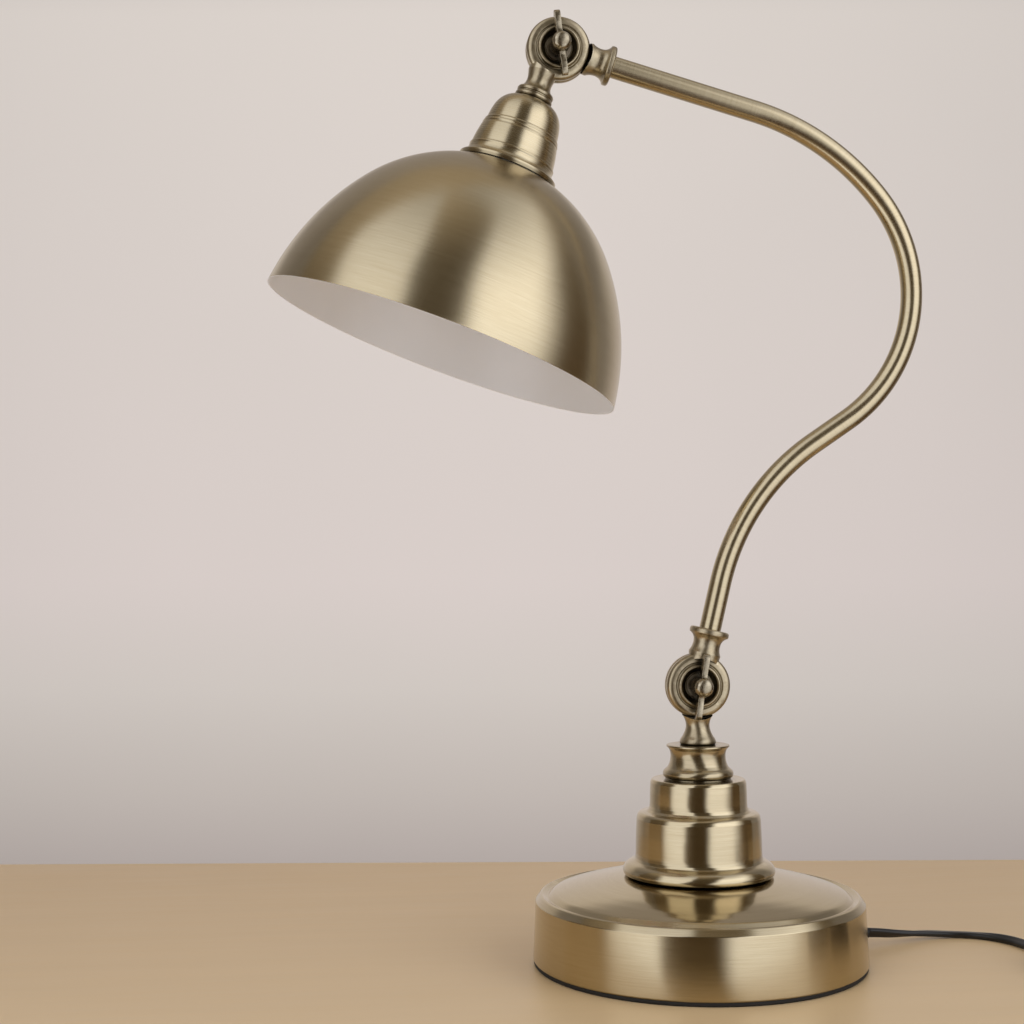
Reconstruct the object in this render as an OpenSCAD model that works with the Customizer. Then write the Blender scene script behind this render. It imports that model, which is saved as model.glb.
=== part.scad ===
// Swing arm desk lamp in antique brass: a round weighted base with a stepped
// collar, an S-shaped tube arm between two clamped knuckle joints, and a domed
// shade that is enamelled white inside. Millimetres, +Z up. The origin is the
// centre of the base on the table. The lamp's own plane is XZ and the head
// hangs on the -X side. Both knuckles turn about Y, and the wing nuts face -Y.

/* [Base] */
// Radius of the base shell at the table
base_r = 85.4; // [84.6:0.2:88]
// Radius of the base shell at the top of its wall
base_top_r = 83.9; // [83:0.2:84.6]
// Height of the straight wall of the base
base_wall_h = 30.4; // [29:0.2:31]
// Thickness of the pad under the base
pad_t = 1.6; // [1:0.2:2]
// Thickness of the base shell
shell_t = 1.2; // [0.8:0.1:1.4]
// Radius of the cast weight
weight_r = 76; // [60:1:78]
// Height of the top face of the cast weight
weight_top = 25; // [16:1:28]

/* [Stem] */
// Radius of the flange of the stepped collar
flange_r = 39; // [38:0.2:41]
// Radius of the lower step of the collar
step1_r = 32.4; // [31:0.2:33]
// Radius of the upper step of the collar
step2_r = 24.9; // [24:0.2:26]
// Radius of the bottom ring of the spool
spool_r = 18.2; // [17:0.2:20]

/* [Knuckles] */
// Height of the lower knuckle above the table
knuckle_z = 142; // [141:0.5:146]
// Radius of each knuckle half
knuckle_r = 16.5; // [16:0.1:17]
// Depth of each knuckle half along its axis
knuckle_d = 5.7; // [5.4:0.1:6]
// Half of the space between the two halves
knuckle_gap = 0.5; // [0.4:0.1:0.6]
// Radius of the clamp bolts
bolt_r = 3; // [2.5:0.1:3.2]
// Radial running clearance of the clamp bolts
bolt_play = 0.06; // [0.02:0.01:0.1]
// Reach of the wings of a wing nut from its axis
wing_r = 17; // [14:0.5:17.5]
// Thickness of the wings
wing_t = 2.6; // [1.6:0.1:3]

/* [Arm] */
// Outer radius of the arm tube
tube_r = 5.6; // [5:0.1:5.8]
// Wall of the arm tube
tube_wall = 1.2; // [0.8:0.1:1.6]
// Lean of the arm from vertical where it leaves the lower knuckle
arm_lean = 13.4; // [10:0.1:16]
// Length from the lower knuckle to the first bend
leg_a = 54; // [50:0.5:60]
// Radius of the outward bend
bend_a_r = 122; // [115:1:130]
// Angle of the outward bend
bend_a = 42.5; // [40:0.5:45]
// Straight length between the outward and the main bend
leg_b = 21.5; // [18:0.5:26]
// Radius of the main bend
bend_b_r = 81; // [76:1:86]
// Angle of the main bend
bend_b = 94.5; // [92:0.5:97]
// Radius of the upper bend
bend_c_r = 130; // [124:1:136]
// Angle of the upper bend
bend_c = 35.5; // [33:0.5:38]
// Length from the upper bend to the upper knuckle
leg_c = 107.5; // [100:0.5:112]

/* [Head] */
// Tilt of the head axis from vertical
head_tilt = 20.4; // [15:0.1:25]
// Sideways offset of the head axis from the knuckle
head_off = 3; // [0:0.1:3.4]
// Distance from the knuckle to the plane of the shade rim
rim_s = 166.5; // [162:0.5:170]
// Distance from the knuckle to the crown of the shade
crown_s = 66.4; // [66.2:0.1:66.8]
// Radius of the upper arc of the shade
crown_arc_r = 84; // [82:0.5:86]
// Angle at which the side arc takes over
crown_arc_a = 52.5; // [50:0.5:55]
// Radius of the side arc of the shade
side_arc_r = 134; // [128:1:140]
// Thickness of the shade
shade_t = 0.9; // [0.7:0.1:1.2]
// Radius of the hole in the crown of the shade
shade_hole_r = 20.2; // [20:0.1:20.6]
// Radius of the bulb
bulb_r = 22.5; // [20:0.5:24]

/* [Cord] */
// Width of the flat cord
cord_w = 5.2; // [4.6:0.1:5.6]
// Thickness of the flat cord
cord_t = 3.2; // [2.8:0.1:3.2]
// Radius of the coil at the middle of its turns
coil_r = 31.2; // [30:0.2:32]

/* [Hidden] */
$fn = 96;
brass = [0.60, 0.53, 0.37];
bright = [0.72, 0.64, 0.45];
steel = [0.70, 0.71, 0.72];
black = [0.05, 0.05, 0.05];
eps = 0.01;

// Arm path, worked out from the lower knuckle upwards. Heading is measured
// from +X towards +Z.
h0 = 90 - arm_lean;
h1 = h0 - bend_a;
h2 = h1 + bend_b;
h3 = h2 + bend_c;
pa = [0, knuckle_z] + leg_a * [cos(h0), sin(h0)];
ca = pa + bend_a_r * [sin(h0), -cos(h0)];
pb = ca + bend_a_r * [-sin(h1), cos(h1)];
pc = pb + leg_b * [cos(h1), sin(h1)];
cb = pc + bend_b_r * [-sin(h1), cos(h1)];
pd = cb + bend_b_r * [sin(h2), -cos(h2)];
cc = pd + bend_c_r * [-sin(h2), cos(h2)];
pe = cc + bend_c_r * [sin(h3), -cos(h3)];
upper = pe + leg_c * [cos(h3), sin(h3)];
// Depth at which the tube stops inside each knuckle collar
socket_l = 18.5;
// Direction of the upper collar, measured about Y from +Z
upper_turn = 270 - h3;

// Rest turn of each wing nut
lower_wing_turn = 8.5;
upper_wing_turn = -7.5;

// Shade geometry
seat_r = 24.5;
seat_s = crown_s + crown_arc_r - sqrt(crown_arc_r * crown_arc_r - seat_r * seat_r);
seat_a = asin(seat_r / crown_arc_r);

// Cord route, in round numbers
bush_az = 14.5;
bush_z = 6.8;
bush_tip = 100;
lead_route = [[100 * cos(bush_az), 100 * sin(bush_az), bush_z],
    [104, 26.9, 6], [112, 29.2, 4.6], [122, 32.2, 3.5], [134, 35.4, 2.5],
    [147, 36.4, 1.8], [158, 33.6, 1.6], [167.6, 26.6, 1.6],
    [174, 16.5, 1.6], [177.4, 5, 1.9], [180, -5, 3.2], [182, -12, 4.8],
    [183, -18, 6], [183, -22, 6.2]];
link_route = [[183, -78, 6.2], [183, -83, 6.1], [183, -90, 5],
    [183, -99, 2.7], [183, -110, 1.7], [183, -122, 1.6]];
tail_route = [[255.8, -122, 8], [255.8, -112, 7.9], [255.8, -102, 7.5],
    [255.8, -90, 7], [255.8, -78, 6.9]];
coil_at = [219.4, -122];
switch_at = [183, -50];
plug_at = [255.8, -66];

// Arc of n + 1 points about c, for profiles
function arc(c, r, a0, a1, n = 6) =
    [for (i = [0 : n]) c + r * [cos(a0 + (a1 - a0) * i / n), sin(a0 + (a1 - a0) * i / n)]];

function unit(v) = v / norm(v);
function tangent(p, i) = unit(p[min(i + 1, len(p) - 1)] - p[max(i - 1, 0)]);
function flat_ring(w, t) = [[w / 2, t * 0.2], [w * 0.36, t / 2], [-w * 0.36, t / 2],
    [-w / 2, t * 0.2], [-w / 2, -t * 0.2], [-w * 0.36, -t / 2],
    [w * 0.36, -t / 2], [w / 2, -t * 0.2]];

// Tube of an eight-sided section swept along the points p. Where the path
// stands upright, side0 says which way the section faces.
module sweep(p, w, t, side0 = [0, 0, 0]) {
    n = len(p);
    ring = flat_ring(w, t);
    pts = [for (i = [0 : n - 1])
        let (d = tangent(p, i),
            s = norm(side0) > 0 ? unit(side0 - (side0 * d) * d) : unit(cross(d, [0, 0, 1])),
            u = cross(s, d))
        for (q = ring) p[i] + q[0] * s + q[1] * u];
    faces = concat([[for (k = [0 : 7]) k]],
        [for (i = [0 : n - 2]) for (k = [0 : 7])
            [i * 8 + k, (i + 1) * 8 + k, (i + 1) * 8 + (k + 1) % 8]],
        [for (i = [0 : n - 2]) for (k = [0 : 7])
            [i * 8 + k, (i + 1) * 8 + (k + 1) % 8, i * 8 + (k + 1) % 8]],
        [[for (k = [7 : -1 : 0]) (n - 1) * 8 + k]]);
    polyhedron(points = pts, faces = faces, convexity = 6);
}

// Frames
module at_lower() { translate([0, 0, knuckle_z]) children(); }
module at_upper() { translate([upper[0], 0, upper[1]]) children(); }
// Local +Z runs along the collar away from the knuckle
module lower_collar() { at_lower() rotate([0, arm_lean, 0]) children(); }
module upper_collar() { at_upper() rotate([0, upper_turn, 0]) children(); }
// Local +Z is the distance along the head axis from the knuckle to the rim
module head_axis() {
    at_upper() rotate([0, head_tilt, 0]) translate([-head_off, 0, 0])
        rotate([180, 0, 0]) children();
}
// Cylinder along Y from y0 to y1
module ycyl(r, y0, y1) {
    translate([0, y0, 0]) rotate([-90, 0, 0]) cylinder(r = r, h = y1 - y0);
}
// Profile of (radius, depth) turned about Y. Depth grows towards -Y.
module yturn(pts) { rotate([90, 0, 0]) rotate_extrude() polygon(pts); }

// --- Base -----------------------------------------------------------------

module base_pad() {
    color(black) cylinder(r = 84.6, h = pad_t);
}

module base_shell() {
    z0 = pad_t;
    w = base_wall_h;
    outer = concat([[base_r - 0.6, z0], [base_r, z0 + 0.7], [base_r, z0 + 2]],
        arc([base_top_r - 3.6, w + 1], 3.6, 0, 72, 5),
        [[base_top_r - 3.4, w + 4.7], [base_top_r - 4.5, w + 4.9],
            [base_top_r - 5.6, w + 4.6], [base_top_r - 6.6, w + 4.5],
            [76.4, w + 4.9], [72, 37.3], [66, 39.2], [59, 41],
            [51, 42.7], [44, 43.9], [37.5, 44.7], [35, 45], [5.3, 45]]);
    inner = [[5.3, 45 - shell_t], [35, 45 - shell_t], [44, 43.8 - shell_t],
        [51, 42.6 - shell_t], [59, 40.9 - shell_t], [66, 39.1 - shell_t],
        [72, 37.1 - shell_t], [76.4, 35.2 - shell_t],
        [base_top_r - 4.4, w + 4.5 - shell_t], [base_top_r - shell_t - 1, w + 1.6],
        [base_top_r - shell_t, w - 0.5], [base_r - shell_t, z0 + 2],
        [base_r - shell_t, z0]];
    color(brass) difference() {
        rotate_extrude($fn = 180) polygon(concat(outer, inner));
        rotate([0, 0, bush_az]) translate([80, 0, bush_z]) rotate([0, 90, 0])
            cylinder(r = 4.6, h = 10);
    }
}

module base_weight() {
    color([0.22, 0.22, 0.22]) difference() {
        union() {
            translate([0, 0, pad_t]) cylinder(r = weight_r, h = weight_top - pad_t);
            translate([0, 0, pad_t]) cylinder(r = 14, h = 45 - shell_t - pad_t);
        }
        translate([0, 0, 1]) cylinder(r = 12.4, h = 15);
        translate([0, 0, 1]) cylinder(r = 5.3, h = 60);
        rotate([0, 0, bush_az]) translate([5, -5, 1]) cube([90, 10, 8]);
    }
}

module stem_nipple() {
    color(steel) difference() {
        translate([0, 0, 8]) cylinder(r = 5, h = 105);
        translate([0, 0, 7]) cylinder(r = 3.6, h = 107);
    }
}

module stem_washer() {
    color(steel) difference() {
        translate([0, 0, 14.4]) cylinder(r = 11, h = 1.6);
        translate([0, 0, 14]) cylinder(r = 5.3, h = 3);
    }
}

module stem_nut() {
    color(steel) difference() {
        translate([0, 0, 9.4]) cylinder(r = 9, h = 5, $fn = 6);
        translate([0, 0, 9]) cylinder(r = 5.05, h = 6);
    }
}

module step_collar() {
    f = flange_r;
    a = step1_r;
    b = step2_r;
    outer = [[f - 2.6, 45], [f - 0.8, 45.5], [f - 0.1, 46.4], [f, 47.4],
        [f - 0.4, 48.8], [f - 1.3, 50.3], [f - 2.8, 51.6], [f - 4.6, 52.4],
        [a + 0.8, 53.2], [a + 0.2, 54.2], [a, 55.4], [a - 0.2, 64],
        [a - 0.7, 74.6], [a - 1, 76], [a - 1.7, 76.9], [a - 2.8, 77.3],
        [b + 2.2, 78], [b + 0.9, 78.8], [b + 0.3, 80.2], [b, 82],
        [b - 0.1, 88], [b - 0.3, 92.6], [b - 0.7, 93.6], [b - 1.6, 94.1],
        [5.3, 94.1]];
    inner = [[5.3, 92.2], [b - 2.4, 92.2], [b - 1.9, 79.4], [a - 3.2, 75.6],
        [a - 2.2, 54], [f - 6, 48], [f - 6, 45]];
    color(brass) rotate_extrude() polygon(concat(outer, inner));
}

module pedestal_spool() {
    s = spool_r;
    color(brass) rotate_extrude() polygon([[5.3, 94.1], [s - 1.4, 94.1],
        [s - 1.5, 94.8], [s - 0.4, 95.6], [s, 96.8], [s - 0.4, 98],
        [s - 1.4, 99], [s - 2.6, 100.4], [s - 3.5, 102.4], [s - 4, 104.6],
        [s - 4.1, 106], [s - 3.9, 107.6], [s - 3.3, 109.2], [s - 2.3, 110.3],
        [s - 1.9, 110.9], [s - 2.1, 111.4], [s - 2.8, 111.6], [5.3, 111.6]]);
}

// --- Knuckles -------------------------------------------------------------

// Outer face of a knuckle half as (radius, depth): rounded rim, raised dished
// ring and a bowl for the clamp hardware. Depth is measured from the middle.
function half_face() = let (g = knuckle_gap, d = knuckle_gap + knuckle_d, r = knuckle_r)
    [[bolt_r + bolt_play, g], [r - 0.7, g], [r, g + 0.6], [r, g + 2.6],
        [r - 0.4, g + 4], [r - 1.2, d - 0.8], [r - 2.3, d - 0.2], [r - 3.3, d - 0.3],
        [r - 4.1, d - 1.1], [r - 4.6, d - 1.2], [r - 5.1, d - 0.6], [r - 5.9, d - 0.1],
        [r - 6.8, d - 0.2], [r - 7.8, d - 1.2], [r - 8.9, d - 2.4], [r - 9.6, d - 2.9],
        [bolt_r + bolt_play, d - 2.9]];

// side -1 is the front half (towards -Y), 1 the back half
module half_disc(side) {
    mirror([0, side > 0 ? 1 : 0, 0]) yturn(half_face());
}

// What a collar or neck loses to the other half, which sits on the far side
module scoop(side) {
    ycyl(knuckle_r + 0.8, side > 0 ? -30 : -knuckle_gap, side > 0 ? knuckle_gap : 30);
}

// Keeps a neck out of its own half's bowl
module bowl(side) {
    d = knuckle_gap + knuckle_d;
    ycyl(knuckle_r - 2.4, side > 0 ? knuckle_gap + 1 : -30, side > 0 ? 30 : -knuckle_gap - 1);
}

module base_knuckle() {
    color(brass) union() {
        difference() {
            rotate_extrude() polygon([[0, 111.6], [10.2, 111.6], [11, 112.3],
                [11.1, 113.4], [10.7, 114.4], [9.7, 115.5], [8.7, 117.2],
                [8, 119.2], [7.7, 121.2], [7.8, 123.2], [8.2, 125.2],
                [8.7, 127], [8.7, 131], [0, 131]]);
            at_lower() scoop(1);
            at_lower() bowl(1);
            cylinder(r = 5.05, h = 113.4);
            cylinder(r = 2.6, h = 123);
        }
        at_lower() half_disc(1);
    }
}

// Turned collar that holds the tube, as distance along the arm
module collar_shape() {
    rotate_extrude() polygon([[0, 12], [7.9, 12], [8.2, 15.6], [8.3, 16.8],
        [7.9, 17.6], [7.3, 19], [7, 20.8], [7, 22.4], [7.4, 24],
        [8.2, 25.3], [9.3, 26.2], [10.1, 26.7], [10.2, 27.6], [10.2, 28.6],
        [9.8, 29.4], [0, 29.4]]);
}

module collar_bores() {
    translate([0, 0, socket_l]) cylinder(r = tube_r + 0.03, h = 20);
    translate([0, 0, 13]) cylinder(r = 2.4, h = 10);
    translate([0, 0, 22.6]) rotate([-90, 0, 0]) cylinder(r = 1.5, h = 12);
}

module arm_lower_knuckle() {
    color(brass) union() {
        difference() {
            lower_collar() collar_shape();
            at_lower() scoop(-1);
            at_lower() bowl(-1);
            lower_collar() collar_bores();
        }
        at_lower() half_disc(-1);
    }
}

module arm_upper_knuckle() {
    color(brass) union() {
        difference() {
            upper_collar() collar_shape();
            at_upper() scoop(1);
            at_upper() bowl(1);
            upper_collar() collar_bores();
        }
        at_upper() half_disc(1);
    }
}

module head_knuckle() {
    color(brass) union() {
        difference() {
            head_axis() rotate_extrude() polygon([[0, 11.5], [7.8, 11.5],
                [7.8, 14.6], [7.2, 16.6], [6.7, 18.6], [6.6, 20.4],
                [6.8, 22], [7.4, 23.4], [8.3, 24.3], [9.2, 24.8],
                [9.7, 25.4], [9.7, 26.4], [9.1, 27], [9.1, 27.3],
                [9.7, 27.8], [9.9, 28.6], [9.5, 29.5], [8.8, 30.2],
                [0, 30.2]]);
            at_upper() scoop(-1);
            at_upper() bowl(-1);
            head_axis() translate([0, 0, 22]) cylinder(r = 5.05, h = 20);
            head_axis() translate([0, 0, 14]) cylinder(r = 2.4, h = 20);
        }
        at_upper() half_disc(-1);
    }
}

// Domed clamp bolt, headed at the back, that ends inside the wing nut
module clamp_bolt() {
    d = knuckle_gap + knuckle_d;
    rotate([90, 0, 0]) rotate_extrude() polygon(concat([[0, 13.4], [bolt_r - 0.5, 13.4],
        [bolt_r, 12.8], [bolt_r, -(d - 2.9)], [6.2, -(d - 2.9)], [6.2, -(d - 1.6)]],
        [for (a = [20 : 14 : 90]) [6.2 * cos(a), -(d - 1.6) - 2.6 * sin(a)]],
        [[0, -(d + 1)]]));
}

module lower_bolt() { color(steel) at_lower() clamp_bolt(); }
module upper_bolt() { color(steel) at_upper() clamp_bolt(); }

// Fibre washer between the two halves
module friction_washer() {
    difference() {
        ycyl(10, -knuckle_gap, 0.2);
        ycyl(bolt_r + 0.3, -5, 5);
    }
}

// Metal washer in the bowl, under the wing nut
module face_washer() {
    d = knuckle_gap + knuckle_d - 2.9;
    difference() {
        ycyl(6.4, -d - 0.8, -d);
        ycyl(bolt_r + 0.3, -20, 5);
    }
}

module lower_friction_washer() { color([0.5, 0.2, 0.12]) at_lower() friction_washer(); }
module upper_friction_washer() {
    color([0.5, 0.2, 0.12]) at_upper() friction_washer();
}
module lower_face_washer() { color(steel) at_lower() face_washer(); }
module upper_face_washer() { color(steel) at_upper() face_washer(); }

// Wing nut with a closed domed hub and two thin wings
module wing_nut(turn) {
    d = knuckle_gap + knuckle_d - 2.9;
    rotate([0, turn, 0]) difference() {
        union() {
            yturn(concat([[0, d + 1.15], [4.3, d + 1.15], [4.9, d + 1.8], [4.9, 14.6]],
                arc([0, 14.6], 4.9, 12, 90, 6)));
            for (m = [0, 1]) mirror([0, 0, m]) rotate([90, 0, 90])
                translate([0, 0, -wing_t / 2]) linear_extrude(wing_t)
                    polygon([[-6.6, 3.6], [-8, 5.2], [-9, 8.5], [-9.4, wing_r - 3],
                        [-10, wing_r - 1.2], [-11, wing_r - 0.3], [-12.2, wing_r],
                        [-13.5, wing_r - 0.3], [-14.6, wing_r - 1.2],
                        [-15.2, wing_r - 3], [-15, wing_r - 6], [-14.2, 8.4],
                        [-14.2, 6.6], [-14.8, 3.6]]);
        }
        ycyl(bolt_r + bolt_play, -13.9, 0);
    }
}

module lower_wing_nut() { color(bright) at_lower() wing_nut(lower_wing_turn); }
module upper_wing_nut() { color(bright) at_upper() wing_nut(upper_wing_turn); }

// --- Arm ------------------------------------------------------------------

// A bend about centre c in the XZ plane, from angle a0 through sweep a
module bend(c, r, a0, a, rad) {
    translate([c[0], 0, c[1]]) rotate([90, 0, 0]) rotate([0, 0, a0])
        rotate_extrude(angle = a, $fn = 180) translate([r, 0]) circle(r = rad, $fn = 48);
}

module leg(p, h, l, rad) {
    translate([p[0], 0, p[1]]) rotate([0, 90 - h, 0]) cylinder(r = rad, h = l, $fn = 48);
}

// Thin land where two lengths meet
module land(p, h, rad) {
    leg(p - 0.5 * [cos(h), sin(h)], h, 1, rad + 0.03);
}

// The arm's path as a round bar, starting cut from each knuckle
module arm_path(rad, cut) {
    leg([0, knuckle_z] + cut * [cos(h0), sin(h0)], h0, leg_a - cut, rad);
    bend(ca, bend_a_r, 90 + h1, bend_a, rad);
    leg(pb, h1, leg_b, rad);
    bend(cb, bend_b_r, h1 - 90, bend_b, rad);
    bend(cc, bend_c_r, h2 - 90, bend_c, rad);
    leg(pe, h3, leg_c - cut, rad);
    land(pa, h0, rad);
    land(pb, h1, rad);
    land(pc, h1, rad);
    land(pd, h2, rad);
    land(pe, h3, rad);
}

module arm_tube() {
    color(brass) difference() {
        arm_path(tube_r, socket_l);
        arm_path(tube_r - tube_wall, socket_l - 1);
    }
}

module arm_lead() { color(black) arm_path(1.6, socket_l + 0.5); }

module collar_screws() {
    color(steel) {
        lower_collar() translate([0, tube_r + 0.1, 22.6]) rotate([-90, 0, 0])
            cylinder(r = 1.45, h = 2.2);
        upper_collar() translate([0, tube_r + 0.1, 22.6]) rotate([-90, 0, 0])
            cylinder(r = 1.45, h = 2.2);
    }
}

// --- Head -----------------------------------------------------------------

module head_nipple() {
    color(steel) head_axis() difference() {
        translate([0, 0, 22.2]) cylinder(r = 5, h = 22);
        translate([0, 0, 20]) cylinder(r = 3.6, h = 30);
    }
}

module socket_cup() {
    outer = [[9, 30.2], [10.4, 30.8], [12.4, 32.2], [14.2, 34], [15.8, 36.3],
        [17, 39], [17.9, 42], [18.7, 45], [19.3, 46.6], [19.9, 47], [20.2, 47.6],
        [20, 48.2], [20.3, 48.7], [20.7, 49.2], [20.6, 49.9], [21, 52],
        [21.7, 55.4], [22.2, 59], [22.4, 61.2], [22.9, 61.7], [23, 62.6],
        [22.9, 63.4], [23.3, 65], [24, 66.8], [24.9, 68.4], [25.5, 69.1],
        [25.4, 69.3], [25, 69.3]];
    inner = [[24, 67.8], [23, 66], [22.2, 64.2], [21.6, 61.6], [20.8, 56],
        [19.6, 51], [18.6, 48], [17.6, 45], [16.4, 40.4], [14.6, 36.8],
        [12.4, 33.6], [10, 31.9], [5.3, 31.9], [5.3, 30.2]];
    color(brass) head_axis() rotate_extrude() polygon(concat(outer, inner));
}

module head_nut() {
    color(steel) head_axis() difference() {
        translate([0, 0, 31.9]) cylinder(r = 8, h = 4, $fn = 6);
        translate([0, 0, 31]) cylinder(r = 5.05, h = 6);
    }
}

// Lampholder: closed end, body with a shoulder above the shade, and a
// threaded sleeve below it
module holder_body() {
    s = seat_s;
    color([0.9, 0.9, 0.87]) head_axis() rotate_extrude() polygon([[5.05, 40], [9, 40],
        [12, 42], [15, 47], [17, 53], [17, 64], [20, 66], [23.4, s - 2],
        [23.4, s], [19.6, s], [19.6, 84], [17.4, 84], [14.2, 82], [14.2, 56],
        [3, 56], [3, 50], [5.05, 50]]);
}

module holder_shell() {
    color(bright) head_axis() difference() {
        translate([0, 0, 58.5]) cylinder(r = 14, h = 22);
        translate([0, 0, 57]) cylinder(r = 13.4, h = 30);
    }
}

module holder_contact() {
    color(bright) head_axis() translate([0, 0, 56]) cylinder(r = 3.4, h = 1.6);
}

module head_lead() {
    color(black) head_axis() translate([0, 0, 18]) cylinder(r = 1.6, h = 37);
}

module shade() {
    t = shade_t;
    c1 = [0, crown_s + crown_arc_r];
    c2 = c1 + (side_arc_r - crown_arc_r) * [-sin(crown_arc_a), cos(crown_arc_a)];
    a_end = acos((c2[1] - rim_s) / side_arc_r);
    outer = concat([[shade_hole_r, seat_s]],
        [for (i = [0 : 6]) let (a = seat_a + (crown_arc_a - seat_a) * i / 6)
            c1 + crown_arc_r * [sin(a), -cos(a)]],
        [for (i = [1 : 6]) let (a = crown_arc_a + (a_end - crown_arc_a) * i / 6)
            c2 + side_arc_r * [sin(a), -cos(a)]]);
    inner = concat(
        [for (i = [6 : -1 : 1]) let (a = crown_arc_a + (a_end - crown_arc_a) * i / 6)
            c2 + (side_arc_r - t) * [sin(a), -cos(a)] + [0, i == 6 ? t * cos(a_end) * -1 : 0]],
        [for (i = [6 : -1 : 1]) let (a = seat_a + (crown_arc_a - seat_a) * i / 6)
            c1 + (crown_arc_r - t) * [sin(a), -cos(a)]],
        [[seat_r, seat_s + t], [shade_hole_r, seat_s + t]]);
    color(brass) head_axis() rotate_extrude($fn = 180) polygon(concat(outer, inner));
}

module shade_ring() {
    s = seat_s + shade_t;
    color([0.9, 0.9, 0.87]) head_axis() rotate_extrude() polygon([[19.62, s],
        [24, s], [24, s + 2], [22.6, s + 3], [22.6, s + 7], [19.62, s + 7]]);
}

module bulb_glass() {
    n = bulb_r;
    m = bulb_r - 0.8;
    c = 113;
    color([0.95, 0.95, 0.92]) head_axis() rotate_extrude() polygon(concat(
        [[11.5, 74], [12.3, 74], [12.3, 86], [12.9, 90]],
        [for (a = [40 : 10 : 170]) [n * sin(a), c - n * cos(a)]], [[0, c + n], [0, c + m]],
        [for (a = [170 : -10 : 40]) [m * sin(a), c - m * cos(a)]],
        [[12.1, 90], [11.5, 86]]));
}

module bulb_cap() {
    color(steel) head_axis() difference() {
        union() {
            translate([0, 0, 60.6]) cylinder(r = 12.9, h = 24);
            translate([0, 0, 59]) cylinder(r1 = 8, r2 = 12.4, h = 1.6);
        }
        translate([0, 0, 62]) cylinder(r = 12.3, h = 30);
    }
}

module bulb_contact() {
    color(steel) head_axis() translate([0, 0, 57.6]) cylinder(r = 4.5, h = 1.4);
}

// --- Cord -----------------------------------------------------------------

// Strain relief along the local X axis: flange inside, waist through the
// wall, flange outside and a tapered tail
module cord_bushing() {
    color(black) rotate([0, 0, bush_az]) translate([0, 0, bush_z]) rotate([0, 90, 0])
        rotate_extrude($fn = 48) polygon([[0, 78.4], [5, 78.4], [5, 83.6],
            [4.6, 83.6], [4.6, 85.5], [5.1, 85.5], [5.1, 87.4], [4.6, 88],
            [3.1, bush_tip], [0, bush_tip]]);
}

// Bridge that grips the cord inside the base
module cord_clip() {
    color(steel) rotate([0, 0, bush_az]) translate([56, 0, 0]) difference() {
        translate([0, -4.6, 2.6]) cube([7, 9.2, 6.4]);
        translate([-1, -2.9, 2]) cube([9, 5.8, 4.7]);
    }
}

module base_lead() {
    d = [cos(bush_az), sin(bush_az), 0];
    color(black) sweep([78.4 * d + [0, 0, bush_z], 72 * d + [0, 0, 6],
        64 * d + [0, 0, 5], 55 * d + [0, 0, 4.9], 40 * d + [0, 0, 4.5], 25 * d + [0, 0, 3.8],
        13 * d + [0, 0, 3.7], 7 * d + [0, 0, 4.2], 3.6 * d + [0, 0, 5.4],
        1.4 * d + [0, 0, 7.6], 0.3 * d + [0, 0, 10.4], [0, 0, 14], [0, 0, 40],
        [0, 0, 80], [0, 0, 120]],
        3.4, 3, [-sin(bush_az), cos(bush_az), 0]);
}

module cord_lead() { color(black) sweep(lead_route, cord_w, cord_t); }
module cord_link() { color(black) sweep(link_route, cord_w, cord_t); }
module cord_tail() { color(black) sweep(tail_route, cord_w, cord_t); }

module cord_coil() {
    w = 7.9;
    h = 9.7;
    color(black) translate(coil_at) rotate_extrude() polygon([[coil_r - w, 1.4],
        [coil_r - w + 1.4, 0], [coil_r + w - 1.4, 0], [coil_r + w, 1.4],
        [coil_r + w, h - 1.4], [coil_r + w - 1.4, h], [coil_r - w + 1.4, h],
        [coil_r - w, h - 1.4]]);
}

module coil_tie() {
    color(black) translate([coil_at[0], coil_at[1] - coil_r, 0]) rotate([0, 90, 0])
        translate([0, 0, -4]) linear_extrude(8) difference() {
            translate([-10.9, -8.8]) square([10.9, 17.6]);
            translate([-10, -7.9]) square([9.2, 15.8]);
        }
}

// Inline rocker switch, long side along Y
module switch_blank(w, l, h, z) {
    hull() for (x = [-1, 1]) for (y = [-1, 1])
        translate([x * (w / 2 - 7), y * (l / 2 - 7), z]) cylinder(r = 7, h = h, $fn = 32);
}

module switch_base() {
    color(black) translate(switch_at) difference() {
        union() {
            switch_blank(26, 56, 5, 1.4);
            switch_blank(24.4, 54.4, 1.5, 0);
        }
        switch_blank(22, 52, 5, 2.4);
        for (y = [-1, 1]) translate([0, y * 20, -1]) cylinder(r = 1.5, h = 10);
    }
}

module switch_cover() {
    color(black) translate(switch_at) difference() {
        union() {
            switch_blank(26, 56, 5, 6.4);
            switch_blank(23.6, 53.6, 1.6, 11.4);
        }
        switch_blank(22, 52, 5, 6.3);
        translate([-5.3, -8.3, 8]) cube([10.6, 16.6, 10]);
    }
}

module switch_screws() {
    color(steel) translate(switch_at) for (y = [-1, 1]) translate([0, y * 20, 0.6])
        cylinder(r = 1.45, h = 10.4);
}

// The rocker rests with its -Y end down
module switch_rocker() {
    color([0.08, 0.08, 0.08]) translate([switch_at[0], switch_at[1], 10.4])
        rotate([6, 0, 0]) translate([-4.9, 0, 0]) rotate([90, 0, 90]) linear_extrude(9.8)
            polygon([[-7.6, -1.6], [7.6, -1.6], [7.7, 3.2], [5.5, 3.6], [2.5, 3.2],
                [0, 3], [-2.5, 3.2], [-5.5, 3.6], [-7.7, 3.2]]);
}

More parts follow.
